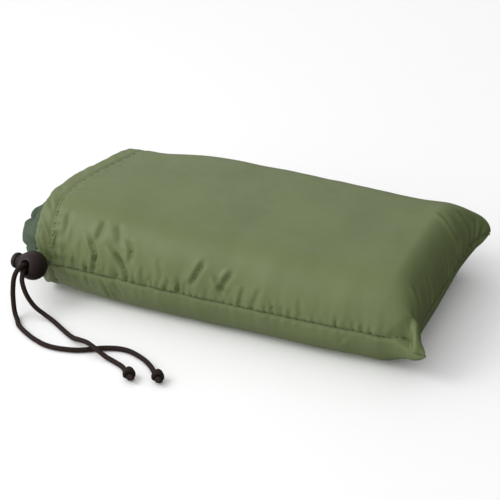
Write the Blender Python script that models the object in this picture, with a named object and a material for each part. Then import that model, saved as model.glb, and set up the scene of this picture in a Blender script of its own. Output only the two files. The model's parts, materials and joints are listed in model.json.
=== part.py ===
"""Camp pillow packed in its drawstring stuff sack.

The sack lies on its underside: +X runs from the drawn mouth to the closed end, -Y is the side
that the cord lock sits on, +Z is up, and the origin is the middle of the flat underside.
Two fabric panels meet at a seam round three sides, a channel with a cord closes the mouth,
a sprung ball lock grips the cord, and the pillow slides out of the mouth along -X.
"""

import math

import bmesh
import bpy
from mathutils import Matrix, Vector

# Driving dimensions, in metres.
SACK_LENGTH = 0.282
SACK_WIDTH = 0.160
SIDE_BOW = 0.003
SACK_HEIGHT = 0.066
SACK_HEIGHT_AT_END = 0.062
CROWN = 0.003
CORNER_EAR = 0.007
SEAM_HEIGHT = 0.0275
FABRIC = 0.0008
SIDE_ROUND_TOP = 0.034
END_ROUND_TOP = 0.022
SIDE_ROUND_UNDER = 0.020
END_ROUND_UNDER = 0.024

MOUTH_WIDTH = 0.152
MOUTH_HEIGHT = 0.063
MOUTH_LIFT = 0.003
MOUTH_SHIFT = 0.005
MOUTH_SLANT = 0.018
MOUTH_TAPER = 0.075

CORD_DIAMETER = 0.0035
CORD_CLEARANCE = 0.0004
CHANNEL_WIDTH = 0.012
CHANNEL_EXIT = 0.010
CHANNEL_STEP = 0.006
THREAD_DIAMETER = 0.0007
CHANNEL_THREAD_X = 0.0015

LOCK_DIAMETER = 0.021
LOCK_ABOVE_SEAM = 0.0015
LOCK_STANDOFF = 0.0145
LOCK_BORE_HEIGHT = 0.0110
LOCK_BORE_WIDTH = 0.0074
PLUNGER_DIAMETER = 0.0116
PLUNGER_CLEARANCE = 0.0003
PLUNGER_TRAVEL = 0.0028
PLUNGER_REACH = 0.0175
PLUNGER_WEB = 0.0016
PLUNGER_SLOT_HEIGHT = 0.0096
CAVITY_FLOOR = 0.0020
SPRING_DIAMETER = 0.0078
SPRING_WIRE = 0.0007
SPRING_TURNS = 4

PILLOW_LENGTH = 0.280
PILLOW_ROUND = 0.020
PILLOW_PROUD = 0.016
PILLOW_CLEARANCE = 0.0006
COVER = 0.0008

KNOT_DIAMETER = 0.0085
KNOT_LENGTH = 0.011

GAP = 0.0003
CORD_SIDES_RESOLUTION = 2
EDGE_STEPS = 5
FLAT_STEPS = 8

MOUTH_X = -SACK_LENGTH / 2
CLOSED_X = SACK_LENGTH / 2
CHANNEL_THICKNESS = CORD_DIAMETER + 2 * CORD_CLEARANCE + 2 * FABRIC
PANEL_START_X = MOUTH_X + CHANNEL_WIDTH + GAP
MOUTH_FRONT_Y = -MOUTH_WIDTH / 2 - MOUTH_SHIFT
BORE_AXIS = Vector((-0.10, -0.95, 0.28)).normalized()
PLUNGER_AXIS = (Vector((-0.98, 0.18, 0.0)).cross(BORE_AXIS)).cross(-BORE_AXIS).normalized()
LOCK_UP = PLUNGER_AXIS.cross(BORE_AXIS).normalized()


def clear_scene():
    for item in list(bpy.data.objects):
        bpy.data.objects.remove(item, do_unlink=True)


def material(name, colour, roughness, metallic=0.0):
    made = bpy.data.materials.new(name)
    made.use_nodes = True
    shader = made.node_tree.nodes["Principled BSDF"]
    shader.inputs["Base Color"].default_value = (*colour, 1.0)
    shader.inputs["Roughness"].default_value = roughness
    shader.inputs["Metallic"].default_value = metallic
    return made


def add_object(name, mesh, finish):
    item = bpy.data.objects.new(name, mesh)
    bpy.context.scene.collection.objects.link(item)
    mesh.materials.append(finish)
    return item


def mesh_object(name, points, faces, finish, smooth=True):
    mesh = bpy.data.meshes.new(name)
    mesh.from_pydata([tuple(p) for p in points], [], faces)
    shell = bmesh.new()
    shell.from_mesh(mesh)
    bmesh.ops.recalc_face_normals(shell, faces=shell.faces)
    if shell.calc_volume(signed=True) < 0:
        bmesh.ops.reverse_faces(shell, faces=shell.faces)
    shell.to_mesh(mesh)
    shell.free()
    if smooth:
        mesh.shade_smooth()
        mesh.set_sharp_from_angle(angle=math.radians(50))
    return add_object(name, mesh, finish)


def smooth_step(value):
    value = min(max(value, 0.0), 1.0)
    return value * value * (3 - 2 * value)


# The sack's outline: how wide, high and lifted it is at each x.

def taper(x):
    """0 in the body of the sack, 1 along the channel at the mouth."""
    return smooth_step((PANEL_START_X + MOUTH_TAPER - x) / MOUTH_TAPER)


def along(x):
    """-1 at the mouth, 1 at the closed end."""
    return 2 * (x - MOUTH_X) / SACK_LENGTH - 1


def half_width(x):
    body = SACK_WIDTH / 2 + SIDE_BOW * (1 - along(x) ** 2)
    return body + (MOUTH_WIDTH / 2 - body) * taper(x)


def middle_y(x):
    return -MOUTH_SHIFT * taper(x)


def slant_x(x, y):
    """The mouth's plane leans: its back side stands further in than its front."""
    return MOUTH_SLANT * taper(x) * max(y / SACK_WIDTH + 0.5, 0.0) ** 2


def ear_x(x, y):
    """The closed end's two corners stand out as ears."""
    near_end = smooth_step((x - CLOSED_X + END_ROUND_TOP) / END_ROUND_TOP)
    return CORNER_EAR * near_end * min(abs(y) / (SACK_WIDTH / 2), 1.0) ** 8


def underside_z(x):
    return MOUTH_LIFT * smooth_step((PANEL_START_X + MOUTH_TAPER / 3 - x) * 3 / MOUTH_TAPER)


def top_z(x):
    body = SACK_HEIGHT + (SACK_HEIGHT_AT_END - SACK_HEIGHT) * smooth_step(along(x) / 2 + 0.5)
    return body + (MOUTH_LIFT + MOUTH_HEIGHT - body) * taper(x)


def crown_z(x, across):
    return CROWN * (1 - across ** 2) * (1 - along(x) ** 2)


def stations(low, high, edge, steps, open_low=False):
    """Places from low to high, each with its share of full height, round at a closed edge."""
    rise = [math.pi / 2 * k / EDGE_STEPS for k in range(EDGE_STEPS)]
    near = [] if open_low else [(low + edge * (1 - math.cos(a)), math.sin(a)) for a in rise]
    far = [(high - edge * (1 - math.cos(a)), math.sin(a)) for a in reversed(rise)]
    flat_low = low if open_low else low + edge
    flat_high = high - edge
    flat = [(flat_low + (flat_high - flat_low) * k / steps, 1.0) for k in range(steps + 1)]
    return near + flat + far


def sack_point(x, y, z):
    return Vector((x + slant_x(x, y) + ear_x(x, y), y, z))


def sack_top_grid(inset):
    rows = []
    for x, full_x in stations(PANEL_START_X, CLOSED_X - inset, END_ROUND_TOP, 12, True):
        wide = half_width(x) - inset
        row = []
        for y, full_y in stations(-wide, wide, SIDE_ROUND_TOP, 8):
            foot = SEAM_HEIGHT + GAP / 2
            height = top_z(x) + crown_z(x, y / wide) - inset - foot
            row.append(sack_point(x, middle_y(x) + y, foot + height * full_x * full_y))
        rows.append(row)
    return rows


def sack_under_grid(inset):
    rows = []
    for x, full_x in stations(PANEL_START_X, CLOSED_X - inset, END_ROUND_UNDER, 12, True):
        wide = half_width(x) - inset
        row = []
        for y, full_y in stations(-wide, wide, SIDE_ROUND_UNDER, 6):
            brim = SEAM_HEIGHT - GAP / 2
            depth = brim - underside_z(x) - inset
            row.append(sack_point(x, middle_y(x) + y, brim - depth * full_x * full_y))
        rows.append(row)
    return rows


def panel_solid(name, outer, inner, finish):
    """A closed sheet between two matching grids of points."""
    rows = len(outer)
    wide = len(outer[0])
    points = [p for row in outer for p in row] + [p for row in inner for p in row]
    shift = rows * wide
    faces = []
    for r in range(rows - 1):
        for c in range(wide - 1):
            a = r * wide + c
            faces.append((a, a + 1, a + wide + 1, a + wide))
            faces.append((shift + a, shift + a + wide, shift + a + wide + 1, shift + a + 1))
    rim = [r * wide for r in range(rows)]
    rim += [(rows - 1) * wide + c for c in range(1, wide)]
    rim += [r * wide + wide - 1 for r in range(rows - 2, -1, -1)]
    rim += [c for c in range(wide - 2, 0, -1)]
    for k, a in enumerate(rim):
        b = rim[(k + 1) % len(rim)]
        faces.append((a, b, shift + b, shift + a))
    return mesh_object(name, points, faces, finish)


def smooth_route(points, spacing, closed=False):
    """Even points along a smooth curve through the given ones."""
    count = len(points)
    fine = []
    spans = count if closed else count - 1
    for k in range(spans):
        if closed:
            a, b, c, d = (points[(k + n) % count] for n in (-1, 0, 1, 2))
        else:
            a, b, c, d = (points[min(max(k + n, 0), count - 1)] for n in (-1, 0, 1, 2))
        for step in range(12):
            t = step / 12
            fine.append(0.5 * (2 * b + (c - a) * t + (2 * a - 5 * b + 4 * c - d) * t ** 2
                               + (3 * b - a - 3 * c + d) * t ** 3))
    fine.append(points[0].copy() if closed else points[-1].copy())
    lengths = [0.0]
    for a, b in zip(fine, fine[1:]):
        lengths.append(lengths[-1] + (b - a).length)
    steps = max(2, round(lengths[-1] / spacing))
    even = []
    k = 0
    for n in range(steps + 1):
        goal = lengths[-1] * n / steps
        while k < len(fine) - 2 and lengths[k + 1] < goal:
            k += 1
        span = max(lengths[k + 1] - lengths[k], 1e-9)
        even.append(fine[k].lerp(fine[k + 1], min(max((goal - lengths[k]) / span, 0), 1)))
    return even[:-1] if closed else even


def cord_tube(name, points, diameter, finish, closed=False):
    curve = bpy.data.curves.new(name, "CURVE")
    curve.dimensions = "3D"
    curve.bevel_depth = diameter / 2
    curve.bevel_resolution = CORD_SIDES_RESOLUTION
    curve.use_fill_caps = not closed
    spline = curve.splines.new("POLY")
    spline.points.add(len(points) - 1)
    for place, p in zip(spline.points, points):
        place.co = (*p, 1.0)
    spline.use_cyclic_u = closed
    return add_object(name, curve, finish)


# The mouth: a fabric channel round the opening, open at the side seam where the cord leaves it.

def mouth_ring(x, inset):
    """The sack's section at x, from the front seam over the top, down the back and under."""
    wide = half_width(x) - inset
    high = top_z(x) + crown_z(x, 0) - inset
    low = underside_z(x) + inset
    over = stations(-wide, wide, SIDE_ROUND_TOP - inset, FLAT_STEPS)
    under = stations(-wide, wide, SIDE_ROUND_UNDER - inset, FLAT_STEPS)
    ring = [(y, SEAM_HEIGHT + (high - SEAM_HEIGHT) * share) for y, share in over]
    ring += [(y, SEAM_HEIGHT - (SEAM_HEIGHT - low) * share) for y, share in under[-2:0:-1]]
    return [sack_point(x, middle_y(x) + y, z) for y, z in ring]


def channel_path():
    """The channel's middle line, cut away round the cord's exit at the side seam."""
    x = MOUTH_X + CHANNEL_WIDTH / 2
    ring = smooth_route(mouth_ring(x, CHANNEL_THICKNESS / 2), CHANNEL_STEP, closed=True)
    exit_z = SEAM_HEIGHT + LOCK_ABOVE_SEAM
    front = [k for k, p in enumerate(ring)
             if p.y < middle_y(x) - half_width(x) / 2 and abs(p.z - exit_z) < CHANNEL_EXIT]
    first = max(k for k in front if k < len(ring) / 2) + 1
    last = min([k for k in front if k > len(ring) / 2] or [len(ring)])
    return ring[first:last]


def oval(width, thickness, sides):
    """A flattened ring round the path: width along X, thickness across the wall."""
    turn = [2 * math.pi * k / sides for k in range(sides)]
    power = 0.75
    return [(width / 2 * math.copysign(abs(math.cos(a)) ** power, math.cos(a)),
             thickness / 2 * math.copysign(abs(math.sin(a)) ** power, math.sin(a))) for a in turn]


def drawcord_channel(path, finish):
    sides = 12
    outer = oval(CHANNEL_WIDTH, CHANNEL_THICKNESS, sides)
    inner = oval(CHANNEL_WIDTH - 2 * FABRIC, CHANNEL_THICKNESS - 2 * FABRIC, sides)
    points = []
    for ring in (outer, inner):
        for k, p in enumerate(path):
            along = (path[min(k + 1, len(path) - 1)] - path[max(k - 1, 0)]).normalized()
            across = along.cross(Vector((1, 0, 0))).normalized()
            points += [p + Vector((a, 0, 0)) + across * b for a, b in ring]
    count = len(path)
    shift = count * sides
    faces = []
    for k in range(count - 1):
        for s in range(sides):
            a = k * sides + s
            b = k * sides + (s + 1) % sides
            faces.append((a, b, b + sides, a + sides))
            faces.append((shift + a, shift + a + sides, shift + b + sides, shift + b))
    for k in (0, count - 1):
        for s in range(sides):
            a = k * sides + s
            b = k * sides + (s + 1) % sides
            faces.append((a, shift + a, shift + b, b))
    return mesh_object("drawcord_channel", points, faces, finish)


def lock_centre():
    exit_x = MOUTH_X + CHANNEL_WIDTH * 0.7
    exit_point = sack_point(exit_x, MOUTH_FRONT_Y, SEAM_HEIGHT + LOCK_ABOVE_SEAM)
    return exit_point + BORE_AXIS * LOCK_STANDOFF


def strand_middle(side):
    """Where a strand crosses the lock's middle plane: side is +1 above and -1 below."""
    pinch = PLUNGER_TRAVEL / 2
    return lock_centre() + PLUNGER_AXIS * pinch + LOCK_UP * side * (CORD_DIAMETER + GAP) / 2


def drawcord_route(path):
    """Round the mouth inside the channel, then out at both ends and into the lock's bore."""
    behind = LOCK_DIAMETER / 2
    leads = []
    for side, before, end in ((1, path[1], path[0]), (-1, path[-2], path[-1])):
        middle = strand_middle(side)
        beyond = end + (end - before).normalized() * CORD_DIAMETER / 2
        into_lock = [middle - BORE_AXIS * reach for reach in (behind, behind * 0.85, behind * 0.7,
                                                              behind * 0.5, GAP / 2)]
        leads.append(smooth_route([end, beyond] + into_lock, CORD_DIAMETER))
    return leads[0][::-1] + path[1:-1] + leads[1]


def sphere(name, radius, finish, segments=24, rings=16):
    shape = bmesh.new()
    bmesh.ops.create_uvsphere(shape, u_segments=segments, v_segments=rings, radius=radius)
    mesh = bpy.data.meshes.new(name)
    shape.to_mesh(mesh)
    shape.free()
    mesh.shade_smooth()
    return add_object(name, mesh, finish)


def cutter(name, mesh, finish):
    item = add_object(name, mesh, finish)
    item.hide_render = True
    item.display_type = "WIRE"
    return item


def axis_matrix(along, up, place):
    """A frame whose Z runs along the given axis and whose X runs near the given up."""
    z = along.normalized()
    y = z.cross(up).normalized()
    x = y.cross(z).normalized()
    return Matrix.Translation(place) @ Matrix((x, y, z)).transposed().to_4x4()


def prism(outline, low, high):
    """A closed prism with the given outline in XY, from low to high."""
    shape = bmesh.new()
    base = [shape.verts.new((x, y, low)) for x, y in outline]
    face = shape.faces.new(base)
    moved = bmesh.ops.extrude_face_region(shape, geom=[face])["geom"]
    verts = [v for v in moved if isinstance(v, bmesh.types.BMVert)]
    bmesh.ops.translate(shape, verts=verts, vec=(0, 0, high - low))
    bmesh.ops.recalc_face_normals(shape, faces=shape.faces)
    mesh = bpy.data.meshes.new("prism")
    shape.to_mesh(mesh)
    shape.free()
    return mesh


def slot_outline(height, width, steps=5):
    """A slot with round ends: height along X, width along Y."""
    radius = width / 2
    straight = max(height / 2 - radius, 0.0)
    arc = [-math.pi / 2 + math.pi * k / steps for k in range(steps + 1)]
    right = [(straight + radius * math.cos(a), radius * math.sin(a)) for a in arc]
    return right + [(-x, -y) for x, y in right]


def circle_outline(radius, sides=24):
    return [(radius * math.cos(2 * math.pi * k / sides), radius * math.sin(2 * math.pi * k / sides))
            for k in range(sides)]


def turned(name, profile, finish, sides=24):
    """A closed body of revolution about Z from (radius, z) points, its ends on the axis."""
    points = [Vector((0, 0, profile[0][1]))]
    rings = profile[1:-1]
    for radius, z in rings:
        points += [Vector((radius * math.cos(2 * math.pi * k / sides),
                           radius * math.sin(2 * math.pi * k / sides), z)) for k in range(sides)]
    points.append(Vector((0, 0, profile[-1][1])))
    faces = []
    for k in range(sides):
        n = (k + 1) % sides
        faces.append((0, 1 + n, 1 + k))
        for r in range(len(rings) - 1):
            a = 1 + r * sides
            faces.append((a + k, a + n, a + sides + n, a + sides + k))
        last = 1 + (len(rings) - 1) * sides
        faces.append((last + k, last + n, len(points) - 1))
    return mesh_object(name, points, faces, finish)


def subtract(target, tool):
    cut = target.modifiers.new("cut", "BOOLEAN")
    cut.operation = "DIFFERENCE"
    cut.object = tool


def cord_lock(plastic, steel):
    """Ball, sprung plunger and spring. The plunger's slot stands off the bore and pinches the cord."""
    centre = lock_centre()
    radius = LOCK_DIAMETER / 2
    bore_frame = axis_matrix(BORE_AXIS, LOCK_UP, centre)
    press_frame = axis_matrix(PLUNGER_AXIS, LOCK_UP, centre)
    cavity_radius = PLUNGER_DIAMETER / 2 + PLUNGER_CLEARANCE
    cavity_low = -radius + CAVITY_FLOOR

    barrel = sphere("lock_barrel", radius, plastic)
    barrel.matrix_world = press_frame
    bore = cutter("bore_cutter", prism(slot_outline(LOCK_BORE_HEIGHT, LOCK_BORE_WIDTH),
                                       -LOCK_DIAMETER, LOCK_DIAMETER), plastic)
    bore.matrix_world = bore_frame
    cavity = cutter("cavity_cutter", prism(circle_outline(cavity_radius), cavity_low,
                                           LOCK_DIAMETER), plastic)
    cavity.matrix_world = press_frame
    subtract(barrel, bore)
    subtract(barrel, cavity)

    slot_middle = PLUNGER_TRAVEL
    inner_end = slot_middle - LOCK_BORE_WIDTH / 2 - PLUNGER_WEB
    stem = PLUNGER_DIAMETER / 2
    dome = stem * 0.62
    shoulder = PLUNGER_REACH - dome
    arc = [math.pi / 2 * k / 4 for k in range(4)]
    profile = [(0, inner_end), (stem - 0.0004, inner_end), (stem, inner_end + 0.0004)]
    profile += [(stem * math.cos(a), shoulder + dome * math.sin(a)) for a in arc]
    profile.append((0, PLUNGER_REACH))
    plunger = turned("lock_plunger", profile, plastic)
    plunger.matrix_world = press_frame
    slot = cutter("slot_cutter", prism(slot_outline(PLUNGER_SLOT_HEIGHT, LOCK_BORE_WIDTH),
                                       -LOCK_DIAMETER, LOCK_DIAMETER), plastic)
    slot.matrix_world = Matrix.Translation(PLUNGER_AXIS * slot_middle) @ bore_frame
    subtract(plunger, slot)

    low = cavity_low + SPRING_WIRE / 2 + GAP
    high = inner_end - SPRING_WIRE / 2 - GAP
    coil = (SPRING_DIAMETER - SPRING_WIRE) / 2
    steps = SPRING_TURNS * 12
    points = [press_frame @ Vector((coil * math.cos(2 * math.pi * k / 12),
                                    coil * math.sin(2 * math.pi * k / 12),
                                    low + (high - low) * k / steps)) for k in range(steps + 1)]
    cord_tube("lock_spring", points, SPRING_WIRE, steel)


# The tails: each leaves the lock's bore, drops over its lip and lies on the ground.

LEFT_TAIL = [(-0.1366, -0.1040, 0.0373), (-0.1381, -0.1087, 0.0357), (-0.1395, -0.1119, 0.0303),
             (-0.1402, -0.1136, 0.0206), (-0.1402, -0.1142, 0.0118), (-0.1388, -0.1158, 0.0052),
             (-0.1345, -0.1200, 0.0021), (-0.1280, -0.1270, 0.0019), (-0.1117, -0.1364, 0.0019),
             (-0.0957, -0.1408, 0.0019), (-0.0769, -0.1376, 0.0019), (-0.0595, -0.1275, 0.0019),
             (-0.0456, -0.1246, 0.0019), (-0.0316, -0.1292, 0.0019), (-0.0215, -0.1360, 0.0019),
             (-0.0140, -0.1440, 0.0019)]
RIGHT_TAIL = [(-0.1360, -0.1042, 0.0333), (-0.1348, -0.1082, 0.0318), (-0.1335, -0.1110, 0.0275),
              (-0.1302, -0.1120, 0.0190), (-0.1250, -0.1112, 0.0105), (-0.1185, -0.1096, 0.0046),
              (-0.1100, -0.1116, 0.0020), (-0.0937, -0.1216, 0.0019), (-0.0860, -0.1262, 0.0028),
              (-0.0790, -0.1300, 0.0052), (-0.0705, -0.1334, 0.0068), (-0.0620, -0.1362, 0.0052),
              (-0.0545, -0.1382, 0.0028), (-0.0470, -0.1402, 0.0019), (-0.0390, -0.1436, 0.0019),
              (-0.0330, -0.1490, 0.0019)]


def tail_route(side, floor_points):
    middle = strand_middle(side)
    straight = PLUNGER_DIAMETER / 2
    start = [middle + BORE_AXIS * GAP / 2, middle + BORE_AXIS * straight / 2,
             middle + BORE_AXIS * straight]
    return start + [Vector(p) for p in floor_points]


def tail(name, knot_name, side, floor_points, cord_finish):
    route = smooth_route(tail_route(side, floor_points), 2.2 * CORD_DIAMETER)
    cord_tube(name, route, CORD_DIAMETER, cord_finish)
    end = route[-1]
    along = (route[-1] - route[-2]).normalized()
    along.z = 0
    along.normalize()
    radius = KNOT_DIAMETER / 2
    arc = [math.pi * k / 6 for k in range(7)]
    profile = [(radius * math.sin(a), -KNOT_LENGTH / 2 * math.cos(a)) for a in arc]
    knot = turned(knot_name, profile, cord_finish, sides=12)
    place = end + along * (KNOT_LENGTH / 2 + GAP)
    place.z = radius + 0.0001
    knot.matrix_world = axis_matrix(along, Vector((0, 0, 1)), place)


# Threads: the visible runs of stitching, each one line of thread beside its seam.

def side_seam_thread(finish):
    """From beside the channel's stitching along the front, round the closed end and back."""
    out = 2 * GAP + THREAD_DIAMETER / 2
    start = PANEL_START_X + CHANNEL_THREAD_X + 3 * THREAD_DIAMETER
    steps = 24
    sides = []
    for side in (-1, 1):
        run = []
        for k in range(steps + 1):
            x = start + (CLOSED_X + out - start) * k / steps
            run.append(sack_point(x, middle_y(x) + side * (half_width(x) + out), SEAM_HEIGHT))
        sides.append(run)
    front, back = sides
    reach = half_width(CLOSED_X) + out
    end = [sack_point(CLOSED_X + out, reach * (k / 8 - 1), SEAM_HEIGHT) for k in range(1, 16)]
    cord_tube("side_seam_thread", front + end + back[::-1], THREAD_DIAMETER, finish)


def channel_thread(finish):
    """The stitching that closes the channel, just outside the panels' first edge."""
    x = PANEL_START_X + CHANNEL_THREAD_X
    ring = smooth_route(mouth_ring(x, -GAP * 2 - THREAD_DIAMETER), 0.005, closed=True)
    exit_z = SEAM_HEIGHT + LOCK_ABOVE_SEAM
    kept = [p for p in ring if not (p.y < 0 and abs(p.z - exit_z) < CHANNEL_EXIT)]
    start = max(range(len(kept)), key=lambda k: (kept[k] - kept[k - 1]).length)
    cord_tube("channel_thread", kept[start:] + kept[:start], THREAD_DIAMETER, finish)


# The pillow: two cover panels sewn round a fill, packed small enough to pass the mouth.

def pillow_inside():
    """How far the pillow stays within the sack's outline, to pass inside the channel."""
    return CHANNEL_THICKNESS + PILLOW_CLEARANCE


def pillow_box():
    thread_room = 2 * GAP + THREAD_DIAMETER
    wide = half_width(MOUTH_X) - pillow_inside() - thread_room
    low = underside_z(MOUTH_X) + pillow_inside()
    high = top_z(MOUTH_X) - pillow_inside()
    start = MOUTH_X - PILLOW_PROUD
    return start, start + PILLOW_LENGTH, wide, low, high


def pillow_point(x, y, z):
    """The pillow's near end leans with the mouth, and its far end is square."""
    start = pillow_box()[0]
    leaning = 1 - smooth_step((x - start) / PILLOW_LENGTH)
    lean = MOUTH_SLANT * leaning * max(y / SACK_WIDTH + 0.5, 0.0) ** 2
    return Vector((x + lean, middle_y(MOUTH_X) + y, z))


def pillow_grid(inset, up):
    start, end, wide, low, high = pillow_box()
    side_round = (SIDE_ROUND_TOP if up > 0 else SIDE_ROUND_UNDER) - pillow_inside()
    foot = SEAM_HEIGHT + up * GAP / 2
    height = (high - foot if up > 0 else foot - low) - inset
    rows = []
    for x, full_x in stations(start + inset, end - inset, PILLOW_ROUND, FLAT_STEPS):
        row = []
        for y, full_y in stations(-wide + inset, wide - inset, side_round - inset, FLAT_STEPS):
            row.append(pillow_point(x, y, foot + up * height * full_x * full_y))
        rows.append(row)
    return rows


def pillow(cover_finish, fill_finish, thread_finish):
    start, end, wide = pillow_box()[:3]
    for name, up in (("pillow_cover_upper", 1), ("pillow_cover_lower", -1)):
        panel_solid(name, pillow_grid(0, up), pillow_grid(COVER, up), cover_finish)
    top = pillow_grid(COVER + GAP, 1)
    under = pillow_grid(COVER + GAP, -1)
    panel_solid("pillow_fill", top, under, fill_finish)
    out = GAP + THREAD_DIAMETER / 2
    corners = [(start - out, -wide - out), (end + out, -wide - out), (end + out, wide + out),
               (start - out, wide + out)]
    route = []
    for k, (x, y) in enumerate(corners):
        next_x, next_y = corners[(k + 1) % 4]
        route += [pillow_point(x + (next_x - x) * n / 12, y + (next_y - y) * n / 12, SEAM_HEIGHT)
                  for n in range(12)]
    cord_tube("pillow_seam_thread", route, THREAD_DIAMETER, thread_finish, closed=True)


def build():
    clear_scene()
    taffeta = material("taffeta", (0.150, 0.180, 0.085), 0.45)
    cover = material("pillow_cover", (0.085, 0.125, 0.070), 0.55)
    fill = material("fill", (0.78, 0.77, 0.72), 0.95)
    thread = material("thread", (0.060, 0.070, 0.035), 0.7)
    cord = material("cord", (0.020, 0.014, 0.010), 0.8)
    plastic = material("lock_plastic", (0.018, 0.012, 0.010), 0.35)
    steel = material("spring_steel", (0.55, 0.55, 0.56), 0.3, 1.0)

    panel_solid("sack_top_panel", sack_top_grid(0), sack_top_grid(FABRIC), taffeta)
    panel_solid("sack_bottom_panel", sack_under_grid(0), sack_under_grid(FABRIC), taffeta)
    side_seam_thread(thread)
    path = channel_path()
    drawcord_channel(path, taffeta)
    channel_thread(thread)
    cord_tube("drawcord", drawcord_route(path), CORD_DIAMETER, cord)
    cord_lock(plastic, steel)
    tail("cord_tail_left", "tail_knot_left", 1, LEFT_TAIL, cord)
    tail("cord_tail_right", "tail_knot_right", -1, RIGHT_TAIL, cord)
    pillow(cover, fill, thread)


build()
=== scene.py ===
"""Camp pillow in its drawstring sack: cloth, stitching, cords, cord lock, pillow and stage.

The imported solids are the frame. The sack's cloth, hem, cords, lock and pillow are modelled over
them in the same axes: +X runs from the drawn mouth to the closed end, -Y is the lock's side.
"""

import json
import math

import bmesh
import bpy
import numpy as np
from bpy.props import FloatProperty, FloatVectorProperty, IntProperty, PointerProperty
from mathutils import Matrix, Vector, noise
from mathutils.bvhtree import BVHTree

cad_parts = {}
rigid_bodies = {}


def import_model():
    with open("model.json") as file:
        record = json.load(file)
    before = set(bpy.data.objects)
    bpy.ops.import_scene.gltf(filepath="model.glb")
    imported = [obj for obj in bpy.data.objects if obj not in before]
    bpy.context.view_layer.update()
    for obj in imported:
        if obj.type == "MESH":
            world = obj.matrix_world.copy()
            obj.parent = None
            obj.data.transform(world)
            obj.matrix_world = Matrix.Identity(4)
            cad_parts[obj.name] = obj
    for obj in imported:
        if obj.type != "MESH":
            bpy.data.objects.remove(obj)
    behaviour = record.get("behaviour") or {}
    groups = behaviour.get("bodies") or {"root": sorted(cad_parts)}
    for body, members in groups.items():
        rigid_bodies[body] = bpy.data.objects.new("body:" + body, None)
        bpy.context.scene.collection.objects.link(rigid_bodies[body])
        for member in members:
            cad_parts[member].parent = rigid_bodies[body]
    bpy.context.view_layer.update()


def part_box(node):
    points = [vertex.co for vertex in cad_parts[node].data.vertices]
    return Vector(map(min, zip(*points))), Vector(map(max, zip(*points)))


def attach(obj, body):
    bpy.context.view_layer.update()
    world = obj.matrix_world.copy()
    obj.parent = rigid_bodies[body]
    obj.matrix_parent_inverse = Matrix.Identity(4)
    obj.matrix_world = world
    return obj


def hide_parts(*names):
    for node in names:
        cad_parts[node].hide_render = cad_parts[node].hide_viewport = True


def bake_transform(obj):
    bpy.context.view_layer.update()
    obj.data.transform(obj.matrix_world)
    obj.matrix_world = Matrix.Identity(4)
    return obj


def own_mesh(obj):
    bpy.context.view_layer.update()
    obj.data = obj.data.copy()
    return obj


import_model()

bl_info = {
    "name": "Camp Pillow in its Sack",
    "version": (1, 0, 0),
    "blender": (4, 5, 0),
    "location": "View3D > Sidebar > Camp Pillow",
    "description": "Makes the cloth, cords, cord lock and pillow around the packed frame",
    "category": "Object",
}

# The sack's outline, the same as the frame's, in metres.
SACK_LENGTH = 0.282
SACK_WIDTH = 0.160
SIDE_BOW = 0.003
SACK_HEIGHT = 0.066
SACK_HEIGHT_AT_END = 0.062
CROWN = 0.003
CORNER_EAR = 0.007
SEAM_HEIGHT = 0.0275
SIDE_ROUND_TOP = 0.034
END_ROUND_TOP = 0.022
SIDE_ROUND_UNDER = 0.020
END_ROUND_UNDER = 0.024
MOUTH_WIDTH = 0.152
MOUTH_HEIGHT = 0.063
MOUTH_LIFT = 0.003
MOUTH_SHIFT = 0.005
MOUTH_SLANT = 0.018
MOUTH_TAPER = 0.075
HEM_WIDTH = 0.012
HEM_THICKNESS = 0.0059
GAP = 0.0003
MOUTH_X = -SACK_LENGTH / 2
CLOSED_X = SACK_LENGTH / 2
PANEL_START_X = MOUTH_X + HEM_WIDTH + GAP
MOUTH_FRONT_Y = -MOUTH_WIDTH / 2 - MOUTH_SHIFT

# The filled cloth's swell over that outline, at the mouth and in the back corner.
MOUTH_PUFF = 0.0045
MOUTH_RISE = 0.0030
MOUTH_PUFF_Y = -0.026
MOUTH_PUFF_WIDTH = 0.050
BACK_CORNER_FULLNESS = 0.42
EAR_SHARPNESS = 8

# The cord lock's place and the two directions it works in.
LOCK_ABOVE_SEAM = 0.0015
LOCK_STANDOFF = 0.0145
BORE_AXIS = Vector((-0.10, -0.95, 0.28)).normalized()
PLUNGER_AXIS = (Vector((-0.98, 0.18, 0.0)).cross(BORE_AXIS)).cross(-BORE_AXIS).normalized()
LOCK_UP = PLUNGER_AXIS.cross(BORE_AXIS).normalized()
LOCK_DIAMETER = 0.021
BORE_HEIGHT = 0.0110
BORE_WIDTH = 0.0074
PLUNGER_DIAMETER = 0.0116
PLUNGER_CLEARANCE = 0.0003
PLUNGER_TRAVEL = 0.0028
PLUNGER_REACH = 0.0175
PLUNGER_WEB = 0.0016
PLUNGER_SLOT_HEIGHT = 0.0096
CAVITY_FLOOR = 0.0020
COLLAR_RADIUS = 0.0073
SPRING_WIRE = 0.0007
SPRING_DIAMETER = 0.0078
SPRING_TURNS = 4.5

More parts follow.
